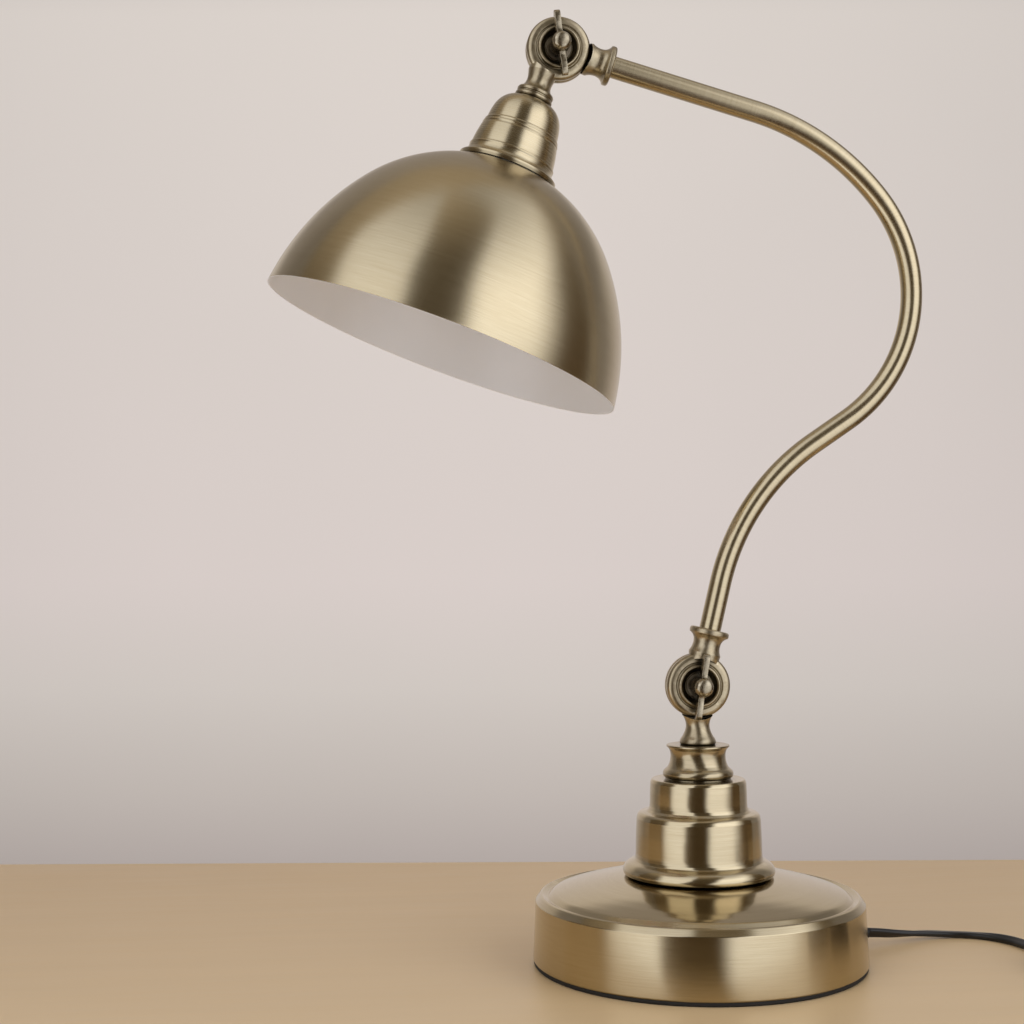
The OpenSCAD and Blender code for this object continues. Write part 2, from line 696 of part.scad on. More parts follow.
module plug_body() {
    color(black) translate(plug_at) difference() {
        union() {
            translate([0, 0, 6.9]) rotate([-90, 0, 0]) rotate_extrude($fn = 48)
                polygon([[0, -12], [3.4, -12], [4.6, 4], [0, 4]]);
            hull() {
                translate([-5, 3, 1.8]) cube([10, 1, 10.2]);
                translate([-13, 14, 0.6]) cube([26, 1, 12.6]);
            }
            hull() {
                translate([-13, 14, 0.6]) cube([26, 22, 12.6]);
                translate([-12, 14, 0]) cube([24, 23, 13.8]);
            }
        }
        for (x = [-1, 1]) translate([x * 9.3, 25, 6.9]) rotate([-90, 0, 0])
            cylinder(r = 1.6, h = 20);
    }
}

// Each pin has a thinner shank inside the body
module plug_pins() {
    color(steel) translate(plug_at) for (x = [-1, 1]) translate([x * 9.3, 25.2, 6.9])
        rotate([-90, 0, 0]) {
            cylinder(r = 1.6, h = 13);
            translate([0, 0, 12]) cylinder(r = 2, h = 18.8);
        }
}

base_pad();
base_shell();
base_weight();
stem_nipple();
stem_washer();
stem_nut();
step_collar();
pedestal_spool();
base_knuckle();
lower_bolt();
cord_bushing();
cord_clip();
base_lead();
cord_lead();
switch_base();
switch_cover();
switch_screws();
switch_rocker();
cord_link();
cord_coil();
coil_tie();
cord_tail();
plug_body();
plug_pins();
lower_friction_washer();
arm_lower_knuckle();
lower_face_washer();
arm_tube();
arm_upper_knuckle();
collar_screws();
arm_lead();
upper_bolt();
lower_wing_nut();
upper_wing_nut();
upper_friction_washer();
upper_face_washer();
head_knuckle();
head_nipple();
socket_cup();
head_nut();
holder_body();
holder_shell();
holder_contact();
head_lead();
shade();
shade_ring();
bulb_glass();
bulb_cap();
bulb_contact();
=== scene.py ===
import math

import bpy
import numpy as np
from mathutils import Matrix, Vector


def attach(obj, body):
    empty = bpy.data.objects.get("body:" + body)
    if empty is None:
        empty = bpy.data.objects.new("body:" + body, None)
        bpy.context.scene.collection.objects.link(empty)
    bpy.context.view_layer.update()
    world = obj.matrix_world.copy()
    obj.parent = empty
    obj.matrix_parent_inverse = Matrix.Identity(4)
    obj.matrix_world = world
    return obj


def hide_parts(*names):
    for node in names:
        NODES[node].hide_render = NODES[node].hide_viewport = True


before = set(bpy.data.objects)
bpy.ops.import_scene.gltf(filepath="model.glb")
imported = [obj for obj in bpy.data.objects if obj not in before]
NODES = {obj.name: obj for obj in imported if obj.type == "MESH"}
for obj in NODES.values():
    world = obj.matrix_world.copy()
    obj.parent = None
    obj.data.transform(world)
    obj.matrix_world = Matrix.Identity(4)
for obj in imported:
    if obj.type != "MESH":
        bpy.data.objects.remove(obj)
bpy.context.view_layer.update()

MM = 0.001
scene = bpy.context.scene

# ---------------------------------------------------------------- camera

def make_camera():
    yaw, pitch, roll = math.radians(-5.9412), math.radians(-1.5254), math.radians(-0.2629)
    fw = Vector((-math.sin(yaw) * math.cos(pitch), math.cos(yaw) * math.cos(pitch), -math.sin(pitch)))
    right = Vector((math.cos(yaw), math.sin(yaw), 0))
    up = right.cross(fw)
    r2 = right * math.cos(roll) + up * math.sin(roll)
    u2 = -right * math.sin(roll) + up * math.cos(roll)
    data = bpy.data.cameras.new("camera")
    data.sensor_width = 36
    data.lens = 57.687
    data.clip_start, data.clip_end = 0.02, 20
    cam = bpy.data.objects.new("camera", data)
    m = Matrix.Identity(4)
    for i in range(3):
        m[i][0], m[i][1], m[i][2] = r2[i], u2[i], -fw[i]
    m[0][3], m[1][3], m[2][3] = -0.182589, -0.834346, 0.209193
    cam.matrix_world = m
    scene.collection.objects.link(cam)
    scene.camera = cam


make_camera()

# ---------------------------------------------------------------- sizes, in mm

KZ = 142.0
TILT = 20.4
OFF = 3.0


def t(x, y, z):
    return Matrix.Translation((x * MM, y * MM, z * MM))


def r(deg, axis):
    return Matrix.Rotation(math.radians(deg), 4, axis)


def unit(v):
    v = np.array(v, float)
    return v / np.linalg.norm(v)


# Arm path in the XZ plane, as the CAD has it
def arm_points(step=1.2):
    h = math.radians(90 - 13.4)
    d = lambda a: np.array([math.cos(a), math.sin(a)])
    pts, heads = [], []
    p = np.array([0.0, KZ])

    def line(p, length):
        n = max(2, int(length / step))
        for i in range(n):
            pts.append(p + d(h) * length * i / n)
            heads.append(h)
        return p + d(h) * length

    def bend(p, h, radius, deg):
        a = math.radians(deg)
        sg = 1 if a > 0 else -1
        c = p + sg * radius * np.array([-math.sin(h), math.cos(h)])
        n = max(2, int(abs(a) * radius / step))
        for i in range(n):
            hh = h + a * i / n
            pts.append(c - sg * radius * np.array([-math.sin(hh), math.cos(hh)]))
            heads.append(hh)
        hh = h + a
        return c - sg * radius * np.array([-math.sin(hh), math.cos(hh)]), hh

    p = line(p, 54)
    p, h = bend(p, h, 122, -42.5)
    p = line(p, 21.5)
    p, h = bend(p, h, 81, 94.5)
    p, h = bend(p, h, 130, 35.5)
    p = line(p, 107.5)
    pts.append(p)
    heads.append(h)
    return np.array(pts), np.array(heads)


ARM, HEADS = arm_points()
UP = ARM[-1]
UPPER_TURN = 270 - math.degrees(HEADS[-1])

M_BASE = Matrix.Identity(4)
M_LOW = t(0, 0, KZ)
M_UP = t(UP[0], 0, UP[1])
M_LOWCOLLAR = M_LOW @ r(13.4, "Y")
M_UPCOLLAR = M_UP @ r(UPPER_TURN, "Y")
M_HEAD = M_UP @ r(TILT, "Y") @ t(-OFF, 0, 0) @ r(180, "X")

# ---------------------------------------------------------------- mesh helpers


def outline(pts, default=0.25, closed=False, max_turn=7.0):
    """Rounds the corners of an outline of (a, b[, fillet]). Gives points and unit normals on the right-hand side."""
    P = [np.array(p[:2], float) for p in pts]
    F = [p[2] if len(p) > 2 else default for p in pts]
    n = len(P)
    out, nor = [], []

    def rn(d):
        return np.array([d[1], -d[0]])

    rng = range(n)
    for i in rng:
        if not closed and i in (0, n - 1):
            d = unit(P[1] - P[0]) if i == 0 else unit(P[-1] - P[-2])
            out.append(P[i])
            nor.append(rn(d))
            continue
        p, a, b = P[i], P[(i - 1) % n], P[(i + 1) % n]
        d1, d2 = unit(p - a), unit(b - p)
        la, lb = np.linalg.norm(p - a), np.linalg.norm(b - p)
        cross = d1[0] * d2[1] - d1[1] * d2[0]
        turn = math.atan2(cross, float(d1 @ d2))
        if abs(turn) < math.radians(0.3):
            out.append(p)
            nor.append(unit(rn(d1) + rn(d2)))
            continue
        f = F[i]
        tl = min(f * math.tan(abs(turn) / 2), 0.485 * min(la, lb))
        f = tl / math.tan(abs(turn) / 2)
        s = p - d1 * tl
        sg = 1 if turn > 0 else -1
        c = s + sg * f * np.array([-d1[1], d1[0]])
        k = max(2, int(math.ceil(abs(math.degrees(turn)) / max_turn)))
        for j in range(k + 1):
            a2 = turn * j / k
            rot = np.array([[math.cos(a2), -math.sin(a2)], [math.sin(a2), math.cos(a2)]])
            out.append(c + rot @ (s - c))
            nor.append(rot @ rn(d1))
    return np.array(out), np.array(nor)


def make_mesh(name, verts, faces, matrix=None, normals=None, uvs=None, mat_index=None, mats=(), smooth=True):
    """verts in mm, in the piece's own frame; uvs one pair per face corner."""
    me = bpy.data.meshes.new(name)
    me.from_pydata([tuple(float(c) * MM for c in v) for v in verts], [], [tuple(f) for f in faces])
    me.update()
    if uvs is not None:
        layer = me.uv_layers.new(name="UVMap")
        layer.data.foreach_set("uv", np.array(uvs, np.float32).ravel())
    for m in mats:
        me.materials.append(m)
    if mat_index is not None:
        me.polygons.foreach_set("material_index", np.array(mat_index, np.int32))
    me.polygons.foreach_set("use_smooth", [smooth] * len(me.polygons))
    if normals is not None:
        me.normals_split_custom_set_from_vertices([tuple(float(c) for c in v) for v in normals])
    ob = bpy.data.objects.new(name, me)
    ob.matrix_world = matrix or Matrix.Identity(4)
    scene.collection.objects.link(ob)
    return ob


def lathe(name, pts, matrix=None, seg=192, default=0.25, closed=False, mats=(), mat_of=None, custom=True):
    """Solid of revolution about local Z from an outline of (radius, height[, fillet]), walked so that the outside is on the right."""
    P, N = outline(pts, default, closed)
    n = len(P)
    verts, normals, ring = [], [], []
    ang = [2 * math.pi * k / seg for k in range(seg)]
    for (rad, z), (nr, nz) in zip(P, N):
        if rad < 1e-6:
            ring.append([len(verts)] * seg)
            verts.append((0, 0, z))
            normals.append((0, 0, 1 if nz > 0 else -1))
        else:
            ring.append(list(range(len(verts), len(verts) + seg)))
            for a in ang:
                verts.append((rad * math.cos(a), rad * math.sin(a), z))
                normals.append((nr * math.cos(a), nr * math.sin(a), nz))
    length = [0.0]
    for i in range(1, n):
        length.append(length[-1] + float(np.linalg.norm(P[i] - P[i - 1])))
    length.append(length[-1] + float(np.linalg.norm(P[0] - P[-1])))
    faces, uvs, mi = [], [], []
    for i in range(n if closed else n - 1):
        A, B = ring[i], ring[(i + 1) % n]
        va, vb = length[i] * MM, length[i + 1] * MM
        mid = (P[i] + P[(i + 1) % n]) / 2
        mk = mat_of(mid[0], mid[1], (N[i] + N[(i + 1) % n]) / 2) if mat_of else 0
        for k in range(seg):
            k2 = (k + 1) % seg
            ua, ub = k / seg, (k + 1) / seg
            if A[k] == A[k2] and B[k] == B[k2]:
                continue
            if A[k] == A[k2]:
                faces.append((A[k], B[k2], B[k]))
                uvs += [(ua, va), (ub, vb), (ua, vb)]
            elif B[k] == B[k2]:
                faces.append((A[k], A[k2], B[k]))
                uvs += [(ua, va), (ub, va), (ua, vb)]
            else:
                faces.append((A[k], A[k2], B[k2], B[k]))
                uvs += [(ua, va), (ub, va), (ub, vb), (ua, vb)]
            mi.append(mk)
    return make_mesh(name, verts, faces, matrix, normals if custom else None, uvs, mi, mats)


def sweep(name, path, ring_of, matrix=None, mats=(), caps=True, closed=False, side=None, custom=False, mat_index=None):
    """Skin along path (N x 3, mm). ring_of(i) gives (k x 2) points in the section's side and up directions."""
    path = np.array(path, float)
    n = len(path)
    tang = np.gradient(path, axis=0)
    tang /= np.linalg.norm(tang, axis=1)[:, None]
    rings = []
    for i in range(n):
        d = tang[i]
        s = np.array(side(i), float) if side else np.cross(d, [0, 0, 1])
        s = s - d * (s @ d)
        s = unit(s)
        u = np.cross(s, d)
        q = np.array(ring_of(i), float)
        rings.append(path[i] + q[:, :1] * s + q[:, 1:2] * u)
    k = len(rings[0])
    verts = np.concatenate(rings)
    run = np.concatenate([[0], np.cumsum(np.linalg.norm(np.diff(path, axis=0), axis=1))])
    faces, uvs = [], []
    for i in range(n - 1):
        for j in range(k):
            j2 = (j + 1) % k
            faces.append((i * k + j, (i + 1) * k + j, (i + 1) * k + j2, i * k + j2))
            uvs += [(j / k, run[i] * MM), (j / k, run[i + 1] * MM), ((j + 1) / k, run[i + 1] * MM), ((j + 1) / k, run[i] * MM)]
    if caps:
        faces.append(tuple(range(k)))
        uvs += [(0.5, 0)] * k
        faces.append(tuple(reversed(range((n - 1) * k, n * k))))
        uvs += [(0.5, run[-1] * MM)] * k
    return make_mesh(name, verts, faces, matrix, None, uvs, None, mats)


def slab(name, pts, h0, h1, matrix=None, bevel=0.3, mats=(), default=0.3, segs=3):
    """Flat piece of outline pts (a, b[, fillet]) between heights h0 and h1 on local Z, with rounded edges."""
    P, _ = outline(pts, default, closed=True, max_turn=12)
    area = 0.5 * sum(P[i - 1][0] * P[i][1] - P[i][0] * P[i - 1][1] for i in range(len(P)))
    if area < 0:
        P = P[::-1]
    n = len(P)
    verts = [(p[0], p[1], h0) for p in P] + [(p[0], p[1], h1) for p in P]
    faces = [tuple(reversed(range(n))), tuple(range(n, 2 * n))]
    faces += [(i, (i + 1) % n, n + (i + 1) % n, n + i) for i in range(n)]
    ob = make_mesh(name, verts, faces, matrix, None, None, None, mats)
    if bevel:
        m = ob.modifiers.new("edge", "BEVEL")
        m.width = bevel * MM
        m.segments = segs
        m.limit_method = "ANGLE"
        m.angle_limit = math.radians(50)
        bake(ob)
    return ob


def bake(ob):
    """Applies the modifiers."""
    dg = bpy.context.evaluated_depsgraph_get()
    me = bpy.data.meshes.new_from_object(ob.evaluated_get(dg), preserve_all_data_layers=True, depsgraph=dg)
    old = ob.data
    ob.modifiers.clear()
    ob.data = me
    bpy.data.meshes.remove(old)
    return ob


def boolean(ob, others, op):
    for o in others:
        m = ob.modifiers.new("b", "BOOLEAN")
        m.operation = op
        m.solver = "EXACT"
        m.object = o
        bake(ob)
    for o in others:
        me = o.data
        bpy.data.objects.remove(o)
        bpy.data.meshes.remove(me)
    return ob


def finish_cut(ob, angle=32, bevel=0.0):
    """Smooth shading with sharp edges kept, and a small edge break where two shapes were joined."""
    me = ob.data
    me.polygons.foreach_set("use_smooth", [True] * len(me.polygons))
    me.set_sharp_from_angle(angle=math.radians(angle))
    if bevel:
        m = ob.modifiers.new("edge", "BEVEL")
        m.width = bevel * MM
        m.segments = 2
        m.limit_method = "ANGLE"
        m.angle_limit = math.radians(angle)
        m.use_clamp_overlap = True
        bake(ob)
        ob.data.set_sharp_from_angle(angle=math.radians(70))
    me = ob.data
    if "UVMap" not in me.uv_layers:
        me.uv_layers.new(name="UVMap")
    return ob


def bake_place(ob):
    """Moves the object's matrix into its mesh."""
    ob.data.transform(ob.matrix_world)
    ob.matrix_world = Matrix.Identity(4)
    return ob


def join(name, obs):
    """One object out of several, in the first one's frame."""
    base = obs[0]
    inv = base.matrix_world.inverted()
    for o in obs[1:]:
        o.data.transform(inv @ o.matrix_world)
        o.matrix_world = base.matrix_world
    bpy.ops.object.select_all(action="DESELECT")
    for o in obs:
        o.select_set(True)
    bpy.context.view_layer.objects.active = base
    bpy.ops.object.join()
    base.name = name
    base.data.name = name
    return base


def done(ob, body, nodes):
    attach(ob, body)
    if nodes:
        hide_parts(*nodes)
    return ob


# ---------------------------------------------------------------- materials


class Nodes:
    def __init__(self, name):
        self.mat = bpy.data.materials.new(name)
        self.mat.use_nodes = True
        self.nt = self.mat.node_tree
        self.nt.nodes.clear()
        self.out = self.nt.nodes.new("ShaderNodeOutputMaterial")
        self.bsdf = self.nt.nodes.new("ShaderNodeBsdfPrincipled")
        self.nt.links.new(self.bsdf.outputs[0], self.out.inputs[0])

    def set(self, **kw):
        for k, v in kw.items():
            self.bsdf.inputs[k.replace("_", " ")].default_value = v
        return self

    def node(self, kind, **kw):
        n = self.nt.nodes.new(kind)
        for k, v in kw.items():
            setattr(n, k, v)
        return n

    def link(self, a, b):
        self.nt.links.new(a, b)

    def coords(self, kind="Object"):
        return self.node("ShaderNodeTexCoord").outputs[kind]

    def scaled(self, src, sx, sy, sz):
        m = self.node("ShaderNodeMapping")
        m.inputs["Scale"].default_value = (sx, sy, sz)
        self.link(src, m.inputs["Vector"])
        return m.outputs[0]

    def noise(self, vec, scale, detail=2.0, rough=0.5, distortion=0.0):
        n = self.node("ShaderNodeTexNoise")
        n.inputs["Scale"].default_value = scale
        n.inputs["Detail"].default_value = detail
        n.inputs["Roughness"].default_value = rough
        n.inputs["Distortion"].default_value = distortion
        if vec is not None:
            self.link(vec, n.inputs["Vector"])
        return n.outputs["Fac"]

    def ramp(self, fac, stops):
        n = self.node("ShaderNodeValToRGB")
        e = n.color_ramp.elements
        while len(e) < len(stops):
            e.new(0.5)
        for el, (pos, col) in zip(e, stops):
            el.position = pos
            el.color = (*col, 1) if len(col) == 3 else col
        self.link(fac, n.inputs[0])
        return n.outputs[0]

    def remap(self, fac, a, b, c, d):
        n = self.node("ShaderNodeMapRange")
        n.inputs["From Min"].default_value = a
        n.inputs["From Max"].default_value = b
        n.inputs["To Min"].default_value = c
        n.inputs["To Max"].default_value = d
        self.link(fac, n.inputs["Value"])
        return n.outputs[0]

    def mix(self, fac, a, b, blend="MIX"):
        n = self.node("ShaderNodeMix", data_type="RGBA", blend_type=blend)
        for src, key in ((fac, 0), (a, 6), (b, 7)):
            if isinstance(src, (int, float)):
                n.inputs[key].default_value = src
            elif isinstance(src, tuple):
                n.inputs[key].default_value = (*src, 1) if len(src) == 3 else src
            else:
                self.link(src, n.inputs[key])
        return n.outputs[2]

    def math(self, op, a, b=0.0):
        n = self.node("ShaderNodeMath", operation=op)
        for src, key in ((a, 0), (b, 1)):
            if isinstance(src, (int, float)):
                n.inputs[key].default_value = src
            else:
                self.link(src, n.inputs[key])
        return n.outputs[0]

    def hollow_grime_and_shade(self, col, dark, reach, amount):
        """Darkens where a surface is shut in by its neighbours: partly old lacquer and dirt, partly painted shade."""
        n = self.node("ShaderNodeAmbientOcclusion", samples=6)
        n.inputs["Distance"].default_value = reach
        return self.mix(self.remap(n.outputs["AO"], 0.3, 0.85, amount, 0.0), col, dark)

    def bump(self, height, strength, distance, normal=None):
        n = self.node("ShaderNodeBump")
        n.inputs["Strength"].default_value = strength
        n.inputs["Distance"].default_value = distance
        self.link(height, n.inputs["Height"])
        if normal is not None:
            self.link(normal, n.inputs["Normal"])
        return n.outputs[0]


def brass(name, dark, mid, light, rough=(0.2, 0.32), aniso=0.8, radial=True, lines=9000.0, coat=0.04, coat_rough=0.12, bump=0.015, grime_and_shade=0.0):
    """Brushed antique brass under lacquer. Fine lines run round the piece; a slow patina darkens it and its edges are worn brighter."""
    m = Nodes(name)
    uv = m.coords("UV")
    sep = m.node("ShaderNodeSeparateXYZ")
    m.link(uv, sep.inputs[0])
    obj = m.coords("Object")
    so = m.node("ShaderNodeSeparateXYZ")
    m.link(obj, so.inputs[0])
    comb = m.node("ShaderNodeCombineXYZ")
    m.link(m.math("MULTIPLY", so.outputs[0], 55.0), comb.inputs[0])
    m.link(m.math("MULTIPLY", so.outputs[1], 55.0), comb.inputs[1])
    m.link(m.math("MULTIPLY", sep.outputs[1], lines), comb.inputs[2])
    fine = m.noise(comb.outputs[0], 1.0, 3.0, 0.6)
    comb2 = m.node("ShaderNodeCombineXYZ")
    m.link(m.math("MULTIPLY", so.outputs[0], 30.0), comb2.inputs[0])
    m.link(m.math("MULTIPLY", so.outputs[1], 30.0), comb2.inputs[1])
    m.link(m.math("MULTIPLY", sep.outputs[1], lines * 0.16), comb2.inputs[2])
    broad = m.noise(comb2.outputs[0], 1.0, 2.0, 0.5)
    patina = m.noise(obj, 26.0, 4.0, 0.6)
    col = m.ramp(m.math("ADD", m.math("MULTIPLY", fine, 0.8), m.math("MULTIPLY", broad, 0.2)), [(0.3, dark), (0.5, mid), (0.72, light)])
    col = m.mix(m.remap(patina, 0.35, 0.75, 0.0, 0.4), col, dark, "MIX")
    geo = m.node("ShaderNodeNewGeometry")
    edge = m.remap(geo.outputs["Pointiness"], 0.52, 0.6, 0.0, 0.55)
    cavity = m.remap(geo.outputs["Pointiness"], 0.49, 0.42, 0.0, 0.75)
    col = m.mix(edge, col, tuple(min(1, c * 1.12) for c in light))
    col = m.mix(cavity, col, tuple(c * 0.25 for c in dark))
    # darker where neighbours close a surface in: partly old dirt, partly painted shade
    if grime_and_shade:
        col = m.hollow_grime_and_shade(col, tuple(c * 0.12 for c in dark), 0.005, grime_and_shade)
    m.link(col, m.bsdf.inputs["Base Color"])
    m.link(m.remap(fine, 0.25, 0.75, rough[0], rough[1]), m.bsdf.inputs["Roughness"])
    m.link(m.bump(fine, bump, 0.0002), m.bsdf.inputs["Normal"])
    m.set(Metallic=1.0, Coat_Weight=coat, Coat_Roughness=coat_rough, Coat_IOR=1.5)
    if aniso:
        m.set(Anisotropic=aniso, Anisotropic_Rotation=0.25 if radial else 0.0)
        tan = m.node("ShaderNodeTangent", direction_type="RADIAL" if radial else "UV_MAP")
        if radial:
            tan.axis = "Z"
        else:
            tan.uv_map = "UVMap"
        m.link(tan.outputs[0], m.bsdf.inputs["Tangent"])
    return m.mat


def cast(name, dark, mid, light, rough=(0.2, 0.36), coat=0.05):
    """Satin polished casting: soft mottling, fine polishing marks, dark hollows (partly patina, partly painted shade
    from the occlusion term) and bright rubbed edges.
    """
    m = Nodes(name)
    obj = m.coords("Object")
    mott = m.noise(obj, 160.0, 5.0, 0.6)
    fine = m.noise(m.scaled(obj, 500, 2600, 500), 1.0, 3.0, 0.6)
    col = m.ramp(m.math("ADD", m.math("MULTIPLY", mott, 0.6), m.math("MULTIPLY", fine, 0.4)), [(0.3, dark), (0.5, mid), (0.75, light)])
    geo = m.node("ShaderNodeNewGeometry")
    col = m.mix(m.remap(geo.outputs["Pointiness"], 0.51, 0.58, 0.0, 0.6), col, tuple(min(1, c * 1.12) for c in light))
    col = m.mix(m.remap(geo.outputs["Pointiness"], 0.495, 0.42, 0.0, 0.85), col, tuple(c * 0.2 for c in dark))
    # darker where neighbours close it in: partly patina, partly painted shade
    col = m.hollow_grime_and_shade(col, tuple(c * 0.1 for c in dark), 0.007, 0.95)
    m.link(col, m.bsdf.inputs["Base Color"])
    m.link(m.remap(m.math("ADD", m.math("MULTIPLY", mott, 0.5), m.math("MULTIPLY", fine, 0.5)), 0.3, 0.7, rough[0], rough[1]), m.bsdf.inputs["Roughness"])
    m.link(m.bump(mott, 0.06, 0.0003, m.bump(fine, 0.05, 0.0001)), m.bsdf.inputs["Normal"])
    m.set(Metallic=1.0, Coat_Weight=coat, Coat_Roughness=0.15, Coat_IOR=1.5)
    return m.mat


def steel(name, base, rough=(0.25, 0.42), tint=0.8):
    m = Nodes(name)
    obj = m.coords("Object")
    n1 = m.noise(obj, 300.0, 4.0, 0.6)
    n2 = m.noise(m.scaled(obj, 900, 900, 5200), 1.0, 2.0, 0.6)
    col = m.ramp(n1, [(0.3, tuple(c * tint for c in base)), (0.7, base)])
    m.link(col, m.bsdf.inputs["Base Color"])
    m.link(m.remap(n2, 0.3, 0.7, rough[0], rough[1]), m.bsdf.inputs["Roughness"])
    m.link(m.bump(n2, 0.06, 0.0001), m.bsdf.inputs["Normal"])
    m.set(Metallic=1.0)
    return m.mat


def plastic(name, base, rough=(0.35, 0.5), grain=2600.0, bump=0.12, coat=0.0, spread=0.35):
    """Moulded plastic or rubber: fine grain, faint colour drift and dusty variation."""
    m = Nodes(name)
    obj = m.coords("Object")
    n1 = m.noise(obj, 45.0, 4.0, 0.6)
    n2 = m.noise(obj, grain, 2.0, 0.5)
    col = m.ramp(n1, [(0.3, tuple(c * (1 - spread) for c in base)), (0.7, tuple(min(1, c * (1 + spread) + 0.002) for c in base))])
    m.link(col, m.bsdf.inputs["Base Color"])
    m.link(m.remap(m.math("ADD", m.math("MULTIPLY", n1, 0.5), m.math("MULTIPLY", n2, 0.5)), 0.3, 0.7, rough[0], rough[1]), m.bsdf.inputs["Roughness"])
    m.link(m.bump(n2, bump, 0.0001), m.bsdf.inputs["Normal"])
    if coat:
        m.set(Coat_Weight=coat, Coat_Roughness=0.08)
    return m.mat


def enamel(name, base):
    """Sprayed white enamel: faint orange peel, slightly warm drift."""
    m = Nodes(name)
    obj = m.coords("Object")
    n1 = m.noise(obj, 14.0, 3.0, 0.6)
    n2 = m.noise(obj, 900.0, 2.0, 0.5)
    col = m.ramp(n1, [(0.3, tuple(c * 0.95 for c in base)), (0.7, base)])
    m.link(col, m.bsdf.inputs["Base Color"])
    m.link(m.remap(n2, 0.3, 0.7, 0.3, 0.4), m.bsdf.inputs["Roughness"])
    m.link(m.bump(n2, 0.05, 0.0002), m.bsdf.inputs["Normal"])
    m.set(Coat_Weight=0.2, Coat_Roughness=0.2)
    return m.mat


DARK, MID, LIGHT = (0.49, 0.40, 0.245), (0.57, 0.48, 0.315), (0.62, 0.535, 0.365)
M_BRASS = brass("brushed_brass", DARK, MID, LIGHT, rough=(0.17, 0.20), aniso=0.85, grime_and_shade=0.6)
M_DOME = brass("polished_brass", DARK, MID, LIGHT, rough=(0.11, 0.16), aniso=0.0, bump=0.006)
M_SHADE = brass("shade_brass", DARK, MID, LIGHT, rough=(0.22, 0.27), aniso=0.4, bump=0.01)
M_CUP = brass("cup_brass", DARK, MID, LIGHT, rough=(0.24, 0.29), aniso=0.6, bump=0.008, grime_and_shade=0.85)
M_TUBE = brass("tube_brass", DARK, MID, LIGHT, rough=(0.21, 0.27), aniso=0.0, lines=6000.0, bump=0.01)
M_CAST = cast("cast_brass", (0.30, 0.235, 0.145), (0.455, 0.38, 0.25), (0.57, 0.495, 0.35), rough=(0.26, 0.36))
M_TURNED = brass("turned_brass", (0.37, 0.30, 0.185), (0.48, 0.40, 0.26), (0.56, 0.48, 0.33), rough=(0.2, 0.28), aniso=0.6, lines=7000.0, bump=0.02, grime_and_shade=0.9)
M_WING = cast("wing_brass", (0.26, 0.21, 0.14), (0.38, 0.325, 0.23), (0.54, 0.475, 0.35), rough=(0.22, 0.32))
M_BOLT = steel("aged_steel", (0.30, 0.25, 0.18))
M_ZINC = steel("zinc_steel", (0.60, 0.61, 0.62))
M_NICKEL = steel("nickel", (0.68, 0.66, 0.62), rough=(0.15, 0.28), tint=0.9)
M_PAD = plastic("pad_rubber", (0.012, 0.012, 0.012), rough=(0.6, 0.8), grain=1800.0, bump=0.3)
M_BLACK = plastic("black_plastic", (0.014, 0.014, 0.015), rough=(0.32, 0.46))
M_GLOSS = plastic("black_gloss", (0.012, 0.012, 0.013), rough=(0.12, 0.22), bump=0.03, coat=0.3)
M_PVC = plastic("black_pvc", (0.012, 0.012, 0.013), rough=(0.3, 0.42), grain=1500.0, bump=0.1)
M_IRON = plastic("weight_iron", (0.05, 0.05, 0.05), rough=(0.5, 0.75), grain=900.0, bump=0.6)
M_FIBRE = plastic("fibre", (0.10, 0.03, 0.016), rough=(0.6, 0.8), grain=1500.0, bump=0.3)
M_HOLDER = plastic("holder_white", (0.74, 0.72, 0.66), rough=(0.28, 0.4), bump=0.05, spread=0.06)
M_WHITE = enamel("white_enamel", (0.97, 0.945, 0.92))


def opal():
    m = Nodes("opal_glass")
    obj = m.coords("Object")
    n1 = m.noise(obj, 40.0, 3.0, 0.5)
    m.link(m.ramp(n1, [(0.3, (0.84, 0.82, 0.77)), (0.7, (0.90, 0.89, 0.85))]), m.bsdf.inputs["Base Color"])
    m.link(m.remap(n1, 0.3, 0.7, 0.1, 0.18), m.bsdf.inputs["Roughness"])
    m.link(m.bump(n1, 0.02, 0.0005), m.bsdf.inputs["Normal"])
    m.set(Subsurface_Weight=0.4, Subsurface_Scale=0.004, Coat_Weight=0.5, Coat_Roughness=0.03)
    return m.mat


M_OPAL = opal()

# ---------------------------------------------------------------- cord, first


def resample(points, step):
    """Smooth curve through given points, at an even spacing, in mm."""
    P = np.array(points, float)
    Q = np.vstack([2 * P[0] - P[1], P, 2 * P[-1] - P[-2]])
    out = []
    for i in range(1, len(Q) - 2):
        p0, p1, p2, p3 = Q[i - 1], Q[i], Q[i + 1], Q[i + 2]
        t0 = 0.0
        t1 = t0 + max(1e-6, np.linalg.norm(p1 - p0)) ** 0.5
        t2 = t1 + max(1e-6, np.linalg.norm(p2 - p1)) ** 0.5
        t3 = t2 + max(1e-6, np.linalg.norm(p3 - p2)) ** 0.5
        for u in np.linspace(t1, t2, 24, endpoint=False):
            a1 = (t1 - u) / (t1 - t0) * p0 + (u - t0) / (t1 - t0) * p1
            a2 = (t2 - u) / (t2 - t1) * p1 + (u - t1) / (t2 - t1) * p2
            a3 = (t3 - u) / (t3 - t2) * p2 + (u - t2) / (t3 - t2) * p3
            b1 = (t2 - u) / (t2 - t0) * a1 + (u - t0) / (t2 - t0) * a2
            b2 = (t3 - u) / (t3 - t1) * a2 + (u - t1) / (t3 - t1) * a3
            out.append((t2 - u) / (t2 - t1) * b1 + (u - t1) / (t2 - t1) * b2)
    out.append(P[-1])
    out = np.array(out)
    run = np.concatenate([[0], np.cumsum(np.linalg.norm(np.diff(out, axis=0), axis=1))])
    n = max(2, int(round(run[-1] / step)))
    at = np.linspace(0, run[-1], n + 1)
    return np.stack([np.interp(at, run, out[:, k]) for k in range(3)], axis=1)


CW, CT = 5.2, 3.2


